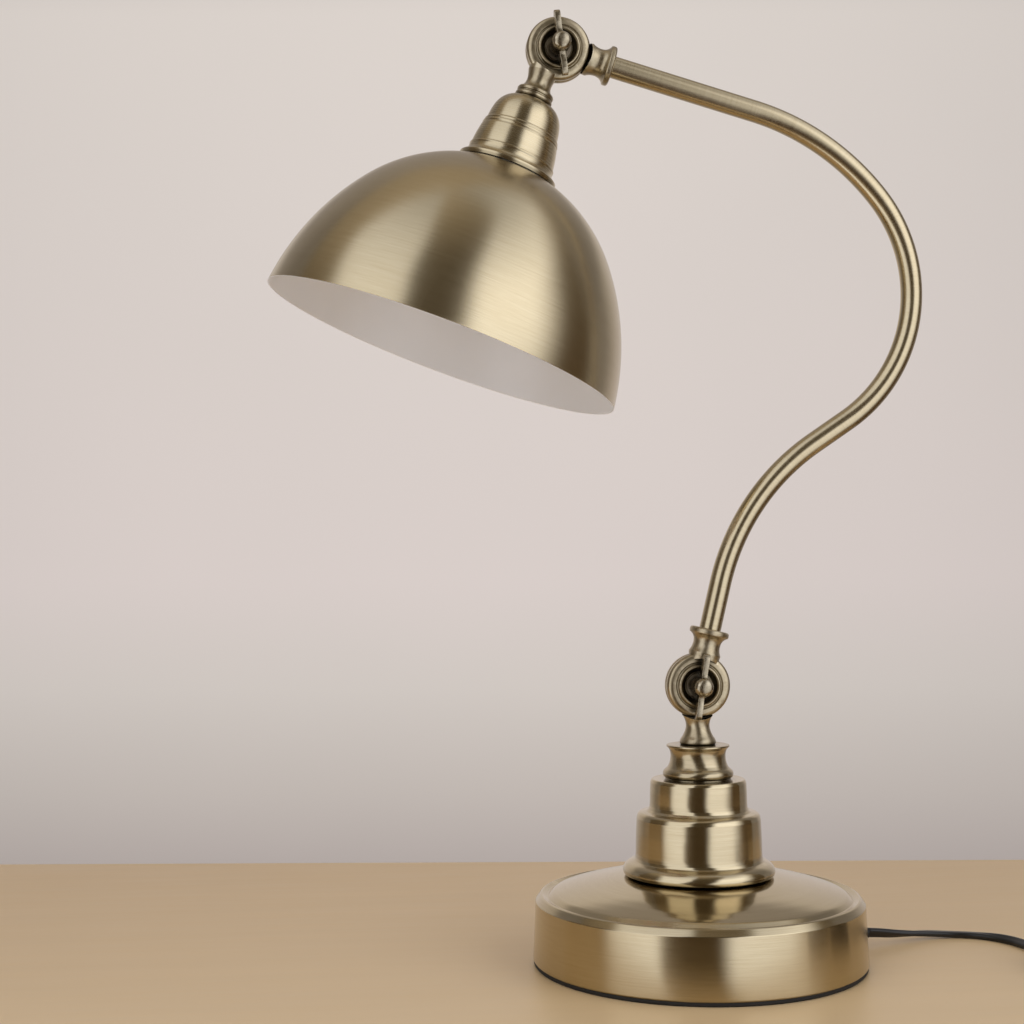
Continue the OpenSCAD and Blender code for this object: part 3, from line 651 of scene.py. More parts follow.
def twin_ring(k=28):
    """Section of flat two-core cord: two round cores side by side with a shallow waist between them."""
    out = []
    for j in range(k):
        a = 2 * math.pi * j / k
        x, y = math.cos(a), math.sin(a)
        half = CW / 2
        px = half * math.copysign(abs(x) ** 0.72, x)
        py = CT / 2 * math.copysign(abs(y) ** 0.62, y)
        py *= 1 - 0.13 * math.exp(-((px / 0.8) ** 2))
        out.append((px, py))
    return np.array(out)


RING = twin_ring()


def cord_piece(name, path, roll=None):
    """Flat cord along path. roll(s) is its twist in degrees at the distance s along it."""
    run = np.concatenate([[0], np.cumsum(np.linalg.norm(np.diff(path, axis=0), axis=1))])

    def ring(i):
        a = math.radians(roll(run[i])) if roll else 0.0
        c, s = math.cos(a), math.sin(a)
        return RING @ np.array([[c, s], [-s, c]])

    return sweep(name, path, ring, mats=(M_PVC,))


def smoothstep(x):
    x = min(1.0, max(0.0, x))
    return x * x * (3 - 2 * x)


AZ = math.radians(14.5)
TIP = np.array([100 * math.cos(AZ), 100 * math.sin(AZ), 6.8])
LEAD = [tuple(TIP), (104, 26.9, 6.0), (112, 29.2, 4.9), (122, 32.2, 3.9), (134, 35.4, 2.9),
        (147, 36.4, 1.9), (158, 33.6, 1.75), (167.6, 26.6, 1.9), (174, 16.5, 2.1), (177.4, 5, 2.4),
        (180, -5, 3.4), (182, -12, 4.8), (183, -18, 6.0), (183, -22, 6.2)]
SWITCH = (183.0, -50.0)
COIL = (219.4, -122.0)
CR = 31.2
PLUG = (255.8, -66.0)

lead_path = resample(LEAD, 1.5)


def lead_roll(s):
    # stands on edge at the strain relief, lies flat on the table, half on edge past the bend
    a = 62 * (1 - smoothstep(s / 42.0))
    b = -30 * smoothstep((s - 62) / 22.0) * (1 - smoothstep((s - 96) / 30.0))
    return a + b


def coil_path():
    """Link, coil and tail in one line: from the switch, eight layers of turns, out to the plug."""
    pts = list(resample([(183, -78, 6.2), (183, -83, 6.0), (183, -90, 4.6), (183, -98, 2.8), (183, -108, 1.75), (183, -122, 1.6)], 1.5))[:-1]
    col = [CR + CW, CR, CR - CW, CR - CW, CR, CR + CW, CR, CR + CW]
    lay = [0, 0, 0, 1, 1, 1, 2, 2]
    step = math.radians(2.0)
    for kk in range(8):
        turns = 1.0 if kk < 7 else 0.5
        n = int(round(2 * math.pi * turns / step))
        for i in range(n):
            f = i / n * turns
            # most of the turn is level; it moves to the next place near its end
            u = smoothstep((f - 0.70) / 0.30) if kk < 7 else 0.0
            rad = col[kk] + (col[min(kk + 1, 7)] - col[kk]) * u
            z = 1.6 + CT * (lay[kk] + (lay[min(kk + 1, 7)] - lay[kk]) * u)
            a = math.pi + 2 * math.pi * f
            wob = 0.12 * math.sin(3 * a + kk)
            pts.append(np.array([COIL[0] + (rad + wob) * math.cos(a), COIL[1] + (rad + wob) * math.sin(a), z]))
    tail = resample([(255.8, -122, 8.0), (255.8, -112, 7.9), (255.8, -102, 7.5), (255.8, -90, 7.0), (255.8, -78, 6.9)], 1.5)
    pts += list(tail)
    return np.array(pts)


long_path = coil_path()

cord_a = cord_piece("cord_to_switch", lead_path, lead_roll)
done(cord_a, "base", ["cord_lead"])
cord_b = cord_piece("cord_to_plug", long_path)
done(cord_b, "base", ["cord_link", "cord_coil", "cord_tail"])

# ---------------------------------------------------------------- base and stem

BIG = 99.0   # fillet as large as the outline allows

pad = lathe("foot_pad", [(0, 0), (84.4, 0, 0.4), (85.0, 0.6, 0.4), (85.0, 2.1, 0.1), (0, 2.1)], seg=180, mats=(M_PAD,))
done(pad, "base", ["base_pad"])

shell = lathe("base_dish", [
    (84.0, 2.1, 0.05), (84.9, 2.1, 0.2), (85.4, 2.8, 0.5), (85.35, 4.4, BIG), (84.0, 32.0, 0.9), (81.7, 35.0, 0.9), (80.7, 35.4, 0.6),
    (79.1, 34.7, 0.8), (77.7, 34.2, 0.9), (76.4, 35.2, 0.8), (74.8, 36.45, BIG),
    (72, 37.45, BIG), (66, 39.25, BIG), (59, 41.0, BIG), (51, 42.6, BIG), (44, 43.9, BIG), (37.5, 44.75, BIG), (33, 45.0, 0.5), (20, 45.0, 0.2),
    (20, 43.8, 0.2), (35, 43.8, BIG), (44, 42.6, BIG), (59, 39.6, BIG), (72, 36, BIG), (79, 32.6, BIG), (82.4, 30.0, BIG), (82.7, 28.5, BIG), (84.0, 4, BIG)],
    seg=256, closed=True, mats=(M_BRASS, M_DOME), mat_of=lambda a, b, n: 1 if a < 75.5 and b > 36.1 and n[1] > 0.5 else 0)
done(shell, "base", ["base_shell"])

collar = lathe("stepped_collar", [
    (33.5, 45.05, 0.1), (36.6, 45.05, 0.5), (38.4, 45.6, BIG), (39.0, 47.2, BIG), (38.7, 49.0, BIG), (37.7, 50.6, BIG), (36.2, 51.7, BIG), (34.4, 52.4, 0.5), (33.2, 52.9, 0.9),
    (32.6, 54.2, 0.8), (32.4, 56, BIG), (32.2, 66, BIG), (31.8, 74.2, 2.0), (31.2, 76.3, BIG), (29.9, 77.1, 0.8), (28.2, 77.45, 0.3), (26.9, 77.7, 0.5), (25.7, 78.7, 1.1),
    (25.1, 80.2, 1.5), (24.95, 82, BIG), (24.85, 88, BIG), (24.6, 92.6, 1.2), (23.9, 94.1, 0.9), (16.0, 94.1, 0.2), (16.0, 92.5, 0.2), (22.6, 92.5, 0.5), (23, 80, 0.5),
    (29, 75.5, 0.5), (30.4, 54, 1), (33.5, 50, 1)],
    seg=224, closed=True, mats=(M_BRASS,))
done(collar, "base", ["step_collar"])

spool = lathe("stem_spool", [
    (0, 94.1), (16.9, 94.1, 0.1), (16.8, 94.8, 0.2), (17.7, 95.4, 0.5), (18.2, 96.7, BIG), (17.9, 98.2, BIG), (16.9, 99.2, 0.5), (16.0, 99.9, 0.8),
    (15.1, 101.2, BIG), (14.4, 103.2, BIG), (14.1, 105.6, BIG), (14.2, 107.6, BIG), (14.8, 109.4, BIG), (15.7, 110.3, 0.3), (16.25, 110.8, 0.35), (16.1, 111.5, 0.3), (15.3, 111.65, 0.2), (0, 111.65)],
    seg=192, mats=(M_TURNED,))
done(spool, "base", ["pedestal_spool"])


def half_disc(name, side, mat):
    """One round half of a knuckle: rounded rim, raised dished ring, bowl. Local -Y side is the front half."""
    pts = [(3.06, 0.5, 0.05), (15.9, 0.5, 0.25), (16.5, 1.1, 0.5), (16.5, 3.2, 1.8), (15.7, 4.7, 3), (14.1, 5.3, 3), (12.3, 5.4, 0.6),
           (11.5, 4.9, 0.4), (11.0, 5.5, 0.4), (10.7, 6.6, 0.8), (9.9, 6.95, 0.8), (9.1, 6.3, 1.2), (8.1, 4.4, 1.0), (7.2, 3.4, 0.5), (3.06, 3.3, 0.1)]
    ob = lathe(name, pts, M_BASE, seg=160, default=0.2, closed=True, mats=(mat,), custom=False)
    ob.data.transform(r(90, "X"))
    if side > 0:
        ob.data.transform(Matrix.Scale(-1, 4, (0, 1, 0)))
        ob.data.flip_normals()
    return ob


def cutter(rad, y0, y1):
    ob = lathe("cut", [(0, y0), (rad, y0, 0), (rad, y1, 0), (0, y1)], seg=128, custom=False)
    ob.data.transform(r(-90, "X"))
    return ob


def knuckle(name, place, neck_pts, neck_matrix, side, mat, seg=160):
    """Disc half and turned neck in one casting. neck_matrix takes the neck's own +Z into the joint's frame."""
    neck = lathe("neck", neck_pts, M_BASE, seg=seg, mats=(mat,), custom=False)
    neck.data.transform(neck_matrix)
    cuts = [cutter(17.3, -30, 0.5) if side > 0 else cutter(17.3, -0.5, 30),
            cutter(14.1, 1.5, 30) if side > 0 else cutter(14.1, -30, -1.5)]
    boolean(neck, cuts, "DIFFERENCE")
    disc = half_disc(name, side, mat)
    boolean(disc, [neck], "UNION")
    disc.name = name
    finish_cut(disc, 30, 0.12)
    disc.matrix_world = place
    return disc


NECK_BASE = [(0, 111.65 - KZ), (8.7, 111.65 - KZ, 0.3), (9.3, 112.3 - KZ, BIG), (9.35, 113.3 - KZ, BIG), (8.9, 114.5 - KZ, BIG), (7.9, 115.9 - KZ, 0.8),
             (6.9, 117.8 - KZ, BIG), (6.2, 119.9 - KZ, BIG), (6.0, 121.8 - KZ, BIG), (6.3, 123.6 - KZ, BIG), (7.0, 125.4 - KZ, BIG), (7.9, 126.7 - KZ, 0.5), (8.1, 127.6 - KZ, 0.4), (8.1, 131 - KZ), (0, 131 - KZ)]
COLLAR = [(0, 12), (7.9, 12), (8.15, 15.6, 1), (8.3, 16.9, 0.7), (7.9, 17.7, 0.6), (7.35, 19.0, BIG), (7.0, 20.7, BIG), (7.0, 22.4, BIG), (7.35, 24.0, BIG), (8.1, 25.3, BIG),
          (9.2, 26.2, 0.8), (10.0, 26.6, 0.3), (10.2, 27.2, 0.4), (10.2, 28.6, 0.5), (9.7, 29.3, 0.4), (8.6, 29.6, 0.5), (6.1, 29.5, 0.4), (5.66, 29.0, 0.2), (5.66, 18.5, 0.1), (0, 18.5)]
NECK_HEAD = [(0, 11.5), (7.8, 11.5), (7.8, 14.6, 1), (7.2, 16.6, BIG), (6.7, 18.6, BIG), (6.6, 20.4, BIG), (6.85, 22.0, BIG), (7.5, 23.4, BIG), (8.4, 24.3, 0.8), (9.3, 24.8, 0.5),
             (9.75, 25.6, 0.5), (9.6, 26.6, 0.5), (9.05, 27.05, 0.25), (9.2, 27.5, 0.25), (9.85, 28.0, 0.5), (9.95, 29.0, 0.5), (9.4, 29.9, 0.5), (8.6, 30.2, 0.2), (0, 30.2)]


def flip(pts):
    return pts


base_kn = knuckle("base_joint_half", M_LOW, NECK_BASE, M_BASE, 1, M_CAST)
done(base_kn, "base", ["base_knuckle"])
arm_lo = knuckle("arm_lower_joint_half", M_LOW, COLLAR, r(13.4, "Y"), -1, M_CAST)
done(arm_lo, "arm", ["arm_lower_knuckle"])
arm_up = knuckle("arm_upper_joint_half", M_UP, COLLAR, r(UPPER_TURN, "Y"), 1, M_CAST)
done(arm_up, "arm", ["arm_upper_knuckle"])
head_kn = knuckle("head_joint_half", M_UP, NECK_HEAD, r(TILT, "Y") @ t(-OFF, 0, 0) @ r(180, "X"), -1, M_CAST)
done(head_kn, "head", ["head_knuckle"])

# ---------------------------------------------------------------- clamp hardware


def y_lathe(name, pts, matrix, mat, seg=96, closed=False):
    """Revolved about Y: outline of (radius, depth), depth towards -Y."""
    return lathe(name, pts, matrix @ r(90, "X"), seg=seg, closed=closed, mats=(mat,))


def clamp_bolt(name, matrix, body, node):
    ob = y_lathe(name, [(0, -8.9), (2.6, -8.75, BIG), (4.6, -8.0, BIG), (5.7, -6.7, BIG), (6.2, -5.2, 0.4), (6.2, -3.35, 0.2), (3.0, -3.3, 0.1), (3.0, 12.9, 0.2), (2.4, 13.4, 0.2), (0, 13.4)],
                 matrix, M_BOLT)
    return done(ob, body, [node])


clamp_bolt("lower_clamp_bolt", M_LOW, "base", "lower_bolt")
clamp_bolt("upper_clamp_bolt", M_UP, "arm", "upper_bolt")

for nm, mtx, body, fr, fa in (("lower", M_LOW, "arm", "lower_friction_washer", "lower_face_washer"),
                              ("upper", M_UP, "head", "upper_friction_washer", "upper_face_washer")):
    ob = y_lathe(nm + "_friction_disc", [(3.3, -0.2, 0.05), (3.3, 0.5, 0.05), (10.0, 0.5, 0.15), (10.0, -0.2, 0.15)][::-1], mtx, M_FIBRE, closed=True)
    done(ob, body, [fr])
    ob = y_lathe(nm + "_flat_washer", [(3.3, 3.3, 0.05), (3.3, 4.1, 0.1), (6.4, 4.1, 0.2), (6.4, 3.3, 0.1)][::-1], mtx, M_BOLT, closed=True)
    done(ob, body, [fa])


def wing_nut(name, matrix, turn, body, node):
    hub = lathe("hub", [(0, 13.9), (3.1, 13.9, 0.1), (3.1, 4.45, 0.1), (4.2, 4.45, 0.3), (4.9, 5.2, 0.4), (4.9, 8, BIG), (4.95, 14.0, BIG), (4.9, 16.2, BIG), (4.55, 17.6, BIG), (3.7, 18.7, BIG), (2.2, 19.4, BIG), (0, 19.6)], M_BASE, seg=96, mats=(M_WING,), custom=False)
    hub.data.transform(r(90, "X"))
    prof = [(-6.6, 3.4), (-8.0, 5.2), (-8.9, 8.5, 3), (-9.3, 12.6, 3), (-9.9, 15.2, 2), (-11.2, 16.7, 2), (-12.3, 17.0, 2), (-13.4, 16.7, 2), (-14.6, 15.4, 2), (-15.0, 13.4, 2),
            (-14.8, 10.5, 3), (-14.2, 8.2, 3), (-14.0, 6.6, 2), (-14.8, 3.4)]
    wings = []
    for m in (1, -1):
        w = slab("wing", prof, -1.5, 1.5, None, bevel=0.9, mats=(M_WING,), segs=4)
        # own x is depth along -Y, own y is the reach, own z the thickness
        w.data.transform(Matrix(((0, 0, 1, 0), (1, 0, 0, 0), (0, m, 0, 0), (0, 0, 0, 1))))
        if m < 0:
            w.data.flip_normals()
        wings.append(w)
    boolean(hub, wings, "UNION")
    hub.name = name
    finish_cut(hub, 34, 0.14)
    hub.matrix_world = matrix @ r(turn, "Y")
    return done(hub, body, [node])


wing_nut("lower_wing", M_LOW, 8.5, "lower_wing", "lower_wing_nut")
wing_nut("upper_wing", M_UP, -7.5, "upper_wing", "upper_wing_nut")

# ---------------------------------------------------------------- arm tube


def arm_tube():
    P, H = ARM, HEADS
    run = np.concatenate([[0], np.cumsum(np.linalg.norm(np.diff(P, axis=0), axis=1))])
    keep = (run > 18.7) & (run < run[-1] - 18.7)
    P, H, run = P[keep], H[keep], run[keep]
    k = 64
    verts, normals = [], []
    for (x, z), h in zip(P, H):
        for j in range(k):
            a = 2 * math.pi * j / k
            n = (-math.sin(h) * math.cos(a), math.sin(a), math.cos(h) * math.cos(a))
            normals.append(n)
            verts.append((x + 5.6 * n[0], 5.6 * n[1], z + 5.6 * n[2]))
    faces, uvs = [], []
    for i in range(len(P) - 1):
        for j in range(k):
            j2 = (j + 1) % k
            faces.append((i * k + j, (i + 1) * k + j, (i + 1) * k + j2, i * k + j2))
            va, vb, ua, ub = run[i] * MM, run[i + 1] * MM, j / k, (j + 1) / k
            uvs += [(ua, va), (ua, vb), (ub, vb), (ub, va)]
    n = len(P)
    faces += [tuple(range(k)), tuple(reversed(range((n - 1) * k, n * k)))]
    uvs += [(0, 0)] * (2 * k)
    ob = make_mesh("arm_bend", verts, faces, None, None, uvs, None, (M_TUBE,))
    ob.data.normals_split_custom_set_from_vertices(normals)
    return ob


tube = arm_tube()
done(tube, "arm", ["arm_tube"])

# ---------------------------------------------------------------- head

cup = lathe("socket_cap", [
    (8.6, 30.25, 0.1), (9.8, 30.35, 0.4), (12.0, 31.1, BIG), (14.3, 32.6, BIG), (16.3, 34.9, BIG), (17.6, 37.5, BIG), (18.4, 40.3, BIG), (18.9, 43.1, BIG), (19.15, 45.3, BIG),
    (19.3, 46.5, 0.3), (19.7, 46.75, 0.2), (20.0, 47.2, 0.25), (19.9, 47.9, 0.15), (19.95, 48.2, 0.15), (20.35, 48.5, 0.25), (20.55, 49.2, 0.25), (20.3, 49.8, 0.2), (20.75, 50.8, 0.5),
    (21.2, 53.0, BIG), (21.8, 56.2, BIG), (22.15, 59.4, BIG), (22.3, 61.1, 0.3), (22.75, 61.4, 0.2), (22.95, 62.0, 0.25), (22.7, 62.7, 0.2), (22.8, 64.0, BIG), (23.2, 65.4, BIG), (24.1, 66.5, 0.6), (25.3, 67.0, 0.5),
    (26.1, 67.7, 0.4), (26.1, 68.5, 0.4), (25.7, 69.9, 0.15), (25.0, 70.0, 0.1), (23.6, 67.8, BIG), (22.0, 65, BIG), (21.2, 61, BIG), (20.0, 54, BIG), (18.4, 48, BIG), (16.6, 41, BIG), (13.6, 35.4, BIG), (10.4, 32.2, BIG), (8.6, 31.6, 0.2)],
    M_HEAD, seg=192, closed=True, mats=(M_CUP,))
done(cup, "head", ["socket_cup"])


def shade_outline():
    crown, ra, aa, rb, rim, th = 66.4, 84.0, 52.5, 134.0, 166.5, 0.9
    c1 = np.array([0, crown + ra])
    c2 = c1 + (rb - ra) * np.array([-math.sin(math.radians(aa)), math.cos(math.radians(aa))])
    end = math.degrees(math.acos((c2[1] - rim) / rb))
    seat = math.degrees(math.asin(24.5 / ra))
    out, inn = [], []

    def at(a, cut):
        c, rad = (c1, ra) if a <= aa else (c2, rb)
        n = np.array([math.sin(math.radians(a)), -math.cos(math.radians(a))])
        return c + (rad - cut) * n

    angles = np.concatenate([np.linspace(seat, aa, 22), np.linspace(aa, end, 34)[1:]])
    s0 = c1[1] - ra * math.cos(math.radians(seat))
    out.append((20.2, s0, 0.1))
    out += [(*at(a, 0), BIG) for a in angles[:-1]]
    end_out = at(end, 0)
    out.append((end_out[0], end_out[1] - 0.25, BIG))
    # a narrow rolled edge: the rim stands out a little on both sides
    out.append((end_out[0] + 0.12, end_out[1] - 0.02, 0.3))
    out.append((end_out[0] - 0.45, end_out[1] + 0.12, 0.35))
    for a in angles[::-1]:
        p = at(a, th)
        inn.append((p[0], min(p[1], rim - 0.3), BIG))
    inn.append((20.2, s0 + th, 0.1))
    return out + inn, c1, c2


SH, _, _ = shade_outline()
shade = lathe("dome_shade", SH, M_HEAD, seg=288, closed=True, mats=(M_SHADE, M_WHITE),
              mat_of=lambda rad, z, n: 0 if n[1] < -0.02 or n[0] > 0.3 else 1)
done(shade, "head", ["shade"])

bulb = lathe("bulb", [(0, 75), (12.3, 75, 0.2), (12.3, 84, BIG), (12.4, 87, BIG), (12.9, 90.4, BIG)] +
             [(22.5 * math.sin(math.radians(a)), 113 - 22.5 * math.cos(math.radians(a)), BIG) for a in range(44, 176, 8)] + [(0, 135.5)],
             M_HEAD, seg=128, mats=(M_OPAL,))
done(bulb, "head", ["bulb_glass"])

S0 = 70.05 + 0.9


def knurled_ring():
    """Shade ring with grip ribs round its lower collar."""
    pts = [(19.65, S0 + 7, 0.2), (22.2, S0 + 7, 0.4), (22.6, S0 + 6.4, 0.3), (22.6, S0 + 3.2, 0.3), (23.6, S0 + 2.4, 0.4), (24.2, S0 + 1.6, 0.4), (24.0, S0 + 0.02, 0.2), (19.65, S0 + 0.02, 0.1)]
    ob = lathe("ring", pts[::-1], M_BASE, seg=288, closed=True, mats=(M_HOLDER,), custom=False)
    for v in ob.data.vertices:
        x, y, z = (c / MM for c in v.co)
        rad = math.hypot(x, y)
        if rad > 21.9 and z > S0 + 2.6:
            a = math.atan2(y, x)
            k = 1 - 0.018 * (0.5 + 0.5 * math.cos(a * 36)) * min(1, (rad - 21.9) / 0.6)
            v.co.x, v.co.y = x * k * MM, y * k * MM
    finish_cut(ob, 40)
    ob.name = "shade_lock_ring"
    ob.matrix_world = M_HEAD
    return ob


done(knurled_ring(), "head", ["shade_ring"])

# Holder, closed body above the shade and threaded sleeve below it
thread = []
for i in range(13):
    zz = 71.2 + i * 1.0
    thread += [(19.55, zz, 0.12), (19.2, zz + 0.5, 0.12)]
holder = lathe("lamp_holder", [(5.1, 50, 0.1), (5.1, 40, 0.2), (9, 40, 1), (12, 42, BIG), (15, 47, BIG), (17, 53, BIG), (17, 63.5, 1), (20, 66, BIG), (23.3, 68, 0.6), (23.4, 70.0, 0.2), (19.6, 70.05, 0.2)] + thread +
               [(19.55, 84, 0.3), (17.4, 84.1, 0.5), (14.2, 82.2, 0.6), (14.2, 56.1, 0.3), (3, 56.0, 0.2), (3, 50, 0.2)][:], M_HEAD, seg=160, closed=True, mats=(M_HOLDER,))
holder = done(holder, "head", ["holder_body"])

cap_thread = [(12.9, 84.6, 0.2)]
for i in range(6):
    zz = 82.4 - i * 3.2
    cap_thread += [(12.9, zz, 0.6), (12.35, zz - 1.6, 0.6)]
bulb_cap = lathe("bulb_screw_cap", ([(0, 84.6)] + cap_thread + [(12.4, 60.7, 0.3), (8.2, 59.0, 0.4), (0, 59.0)])[::-1], M_HEAD, seg=128, mats=(M_NICKEL,))
done(bulb_cap, "head", ["bulb_cap"])

# ---------------------------------------------------------------- cord hardware


def bushing():
    """Ribbed strain relief where the cord leaves the base."""
    pts = [(0, 78.4), (5.0, 78.4, 0.3), (5.0, 83.6, 0.1), (4.6, 83.6, 0.05), (4.6, 85.45, 0.05), (5.1, 85.5, 0.2), (5.1, 87.4, 0.5)]
    for i in range(5):
        x = 88.0 + i * 2.3
        rr = 4.6 - i * 0.3
        pts += [(rr - 0.5, x, 0.2), (rr, x + 0.4, 0.2), (rr - 0.06, x + 1.5, 0.2), (rr - 0.55, x + 1.9, 0.2)]
    pts += [(3.1, 99.6, 0.3), (2.9, 100, 0.2), (0, 100)]
    pts = [(p[0], p[1], *p[2:]) for p in pts]
    return lathe("strain_relief", pts, r(14.5, "Z") @ t(0, 0, 6.8) @ r(90, "Y"), seg=64, mats=(M_BLACK,))


done(bushing(), "base", ["cord_bushing"])


def rounded_box(w, l, rad):
    return [(-w / 2, -l / 2, rad), (w / 2, -l / 2, rad), (w / 2, l / 2, rad), (-w / 2, l / 2, rad)]


def switch_shell():
    low = slab("low", rounded_box(26, 56, 7), 0.0, 6.25, None, bevel=1.3, mats=(M_BLACK,), segs=5)
    up = slab("up", rounded_box(26, 56, 7), 6.55, 13.0, None, bevel=2.0, mats=(M_BLACK,), segs=6)
    cut = slab("hole", rounded_box(10.6, 16.6, 1.2), 8.0, 20, None, bevel=0, mats=(M_BLACK,))
    boolean(up, [cut], "DIFFERENCE")
    lip = slab("lip", rounded_box(13.4, 19.4, 2.2), 12.0, 13.5, None, bevel=0.35, mats=(M_BLACK,))
    cut = slab("hole", rounded_box(10.6, 16.6, 1.2), 8.0, 20, None, bevel=0, mats=(M_BLACK,))
    boolean(lip, [cut], "DIFFERENCE")
    boolean(up, [lip], "UNION")
    for y in (-20, 20):
        c = lathe("screwhole", [(0, -1), (2.9, -1, 0), (2.9, 1.2, 0), (0, 1.2)], t(0, y, 0), seg=48, custom=False)
        c.data.transform(c.matrix_world)
        c.matrix_world = M_BASE
        boolean(low, [c], "DIFFERENCE")
    seam = slab("seam", rounded_box(25.4, 55.4, 6.8), 6.0, 6.8, None, bevel=0, mats=(M_BLACK,))
    for o in (low, up):
        finish_cut(o, 30, 0.12)
    up = join("switch_top", [up, seam])
    low.name = "switch_bottom"
    for o in (low, up):
        o.matrix_world = t(SWITCH[0], SWITCH[1], 0)
    done(low, "base", ["switch_base"])
    done(up, "base", ["switch_cover"])
    return low, up


sw_low, sw_up = switch_shell()

rk = slab("rocker_cap", [(-7.6, -1.6, 0.3), (7.6, -1.6, 0.3), (7.75, 3.2, 0.7), (5.5, 3.65, 2), (2.5, 3.25, 4), (0, 3.0, 6), (-2.5, 3.25, 4), (-5.5, 3.65, 2), (-7.75, 3.2, 0.7)], -4.9, 4.9, None, bevel=0.5, mats=(M_GLOSS,), segs=4)
rk.data.transform(Matrix(((0, 0, 1, 0), (1, 0, 0, 0), (0, 1, 0, 0), (0, 0, 0, 1))))
dot = lathe("dot", [(0, 3.35), (1.0, 3.35, 0.1), (1.2, 3.75, 0.1), (0, 3.8)], t(0, 5.4, 0), seg=32, mats=(M_HOLDER,))
finish_cut(rk, 30)
rk = join("rocker_cap", [rk, dot])
rk.matrix_world = t(SWITCH[0], SWITCH[1], 10.4) @ r(6, "X")
done(rk, "rocker", ["switch_rocker"])

screws = []
for y in (-20, 20):
    s = lathe("screw", [(0, 0.5), (2.4, 0.5, 0.3), (2.7, 1.1, 0.2), (1.45, 1.2, 0.1), (1.45, 10.5, 0.3), (0, 11)], t(SWITCH[0], SWITCH[1] + y, 0), seg=40, mats=(M_ZINC,), custom=False)
    s.data.transform(s.matrix_world)
    s.matrix_world = M_BASE
    slot_cut = slab("slot", [(-3, -0.3, 0), (3, -0.3, 0), (3, 0.3, 0), (-3, 0.3, 0)], 0, 0.95, None, bevel=0)
    slot_cut.data.transform(t(SWITCH[0], SWITCH[1] + y, 0) @ r(35 if y > 0 else 80, "Z"))
    boolean(s, [slot_cut], "DIFFERENCE")
    finish_cut(s, 35)
    screws.append(s)
sw_screws = join("switch_case_screws", screws)
done(sw_screws, "base", ["switch_screws"])

# Tie: two flat turns of coated wire tape with twisted ends
TX, TY = COIL[0], COIL[1] - CR


def coil_tie():
    hw, hh = 8.6, 5.3
    ring = outline([(-hw, -hh, 2.0), (hw, -hh, 2.0), (hw, hh, 2.0), (-hw, hh, 2.0)], closed=True, max_turn=10)[0]
    parts = []
    for dx, lean in ((-1.6, 0.5), (1.7, -0.4)):
        loop = np.array([(TX + dx + lean * q[1] / hh, TY + q[0], 5.35 + q[1]) for q in ring] + [(TX + dx + lean * ring[0][1] / hh, TY + ring[0][0], 5.35 + ring[0][1])])
        strap = [(-1.4, -0.28), (1.4, -0.28), (1.4, 0.28), (-1.4, 0.28)]
        parts.append(sweep("tie", loop, lambda i: strap, mats=(M_BLACK,), caps=False, side=lambda i: (1, 0, 0)))
    a = np.linspace(0, 1, 40)
    for ph in (0, math.pi):
        tw = np.array([(TX + 1.1 * math.cos(7 * s * math.pi + ph) + 5 * s, TY - 9.3 - 7 * s, 9.2 + 1.1 * math.sin(7 * s * math.pi + ph) + 1.4 * math.sin(s * 3)) for s in a])
        dsk = [(0.55 * math.cos(q), 0.55 * math.sin(q)) for q in np.linspace(0, 2 * math.pi, 10, endpoint=False)]
        parts.append(sweep("tie", tw, lambda i: dsk, mats=(M_BLACK,)))
    return join("coil_wire_tie", parts)


tie = coil_tie()
done(tie, "base", ["coil_tie"])


def plug():
    """Flat two-pin plug: tapered ribbed strain relief, waist, flat six-sided nose."""
    z = 6.9
    secs = [(-12, 3.4, 3.2, 3), (-6, 3.7, 3.5, 3), (0, 4.3, 4.1, 3), (3, 5.0, 4.8, 3), (5, 7.2, 5.2, 3.5), (9, 10.6, 5.9, 3.5), (13, 12.6, 6.3, 3.5), (16, 13.0, 6.5, 3.5), (34, 13.0, 6.7, 3.5), (36.2, 12.7, 6.5, 3.2), (37.0, 11.9, 5.8, 2.6)]
    ys = np.array([s[0] for s in secs], float)
    fine = np.concatenate([np.arange(-12, 3, 0.3), np.arange(3, 16, 0.5), np.arange(16, 34, 1.5), np.arange(34, 37.01, 0.2)])
    path = [(PLUG[0], PLUG[1] + y, z) for y in fine]

    def ring(i):
        y = fine[i]
        hw, hh, rr = (float(np.interp(y, ys, [s[k] for s in secs])) for k in (1, 2, 3))
        if y < 1.5:
            g = 0.35 * (0.5 - 0.5 * math.cos((y + 12) * 2 * math.pi / 2.7))
            hw, hh = hw - g, hh - g
        # side grips near the nose
        if 18 < y < 32:
            hw -= 0.35 * (0.5 - 0.5 * math.cos((y - 18) * 2 * math.pi / 2.8))
        rr = min(rr, hw * 0.95, hh * 0.95)
        return outline([(-hw, -hh, rr), (hw, -hh, rr), (hw, hh, rr), (-hw, hh, rr)], closed=True, max_turn=11)[0]

    k0 = len(ring(0))
    ob = sweep("plug_case", path, ring, mats=(M_BLACK,), side=lambda i: (1, 0, 0))
    ob.data.set_sharp_from_angle(angle=math.radians(40))
    return ob


plug_case = plug()
done(plug_case, "base", ["plug_body"])
pins = []
for x in (-9.3, 9.3):
    sleeve = lathe("pin", [(0, 25.2), (1.95, 25.2, 0.1), (1.95, 46.0, 0.15), (2.0, 46.1, 0.1), (2.0, 54.4, 0.9), (1.3, 55.7, 0.7), (0, 56)], t(PLUG[0] + x, PLUG[1], 6.9) @ r(-90, "X"), seg=48, mats=(M_NICKEL, M_BLACK),
                   mat_of=lambda rad, z, n: 1 if z < 46.05 else 0)
    pins.append(sleeve)
plug_pin_pair = join("plug_pin_pair", pins)
done(plug_pin_pair, "base", ["plug_pins"])

# ---------------------------------------------------------------- CAD pieces kept as they are

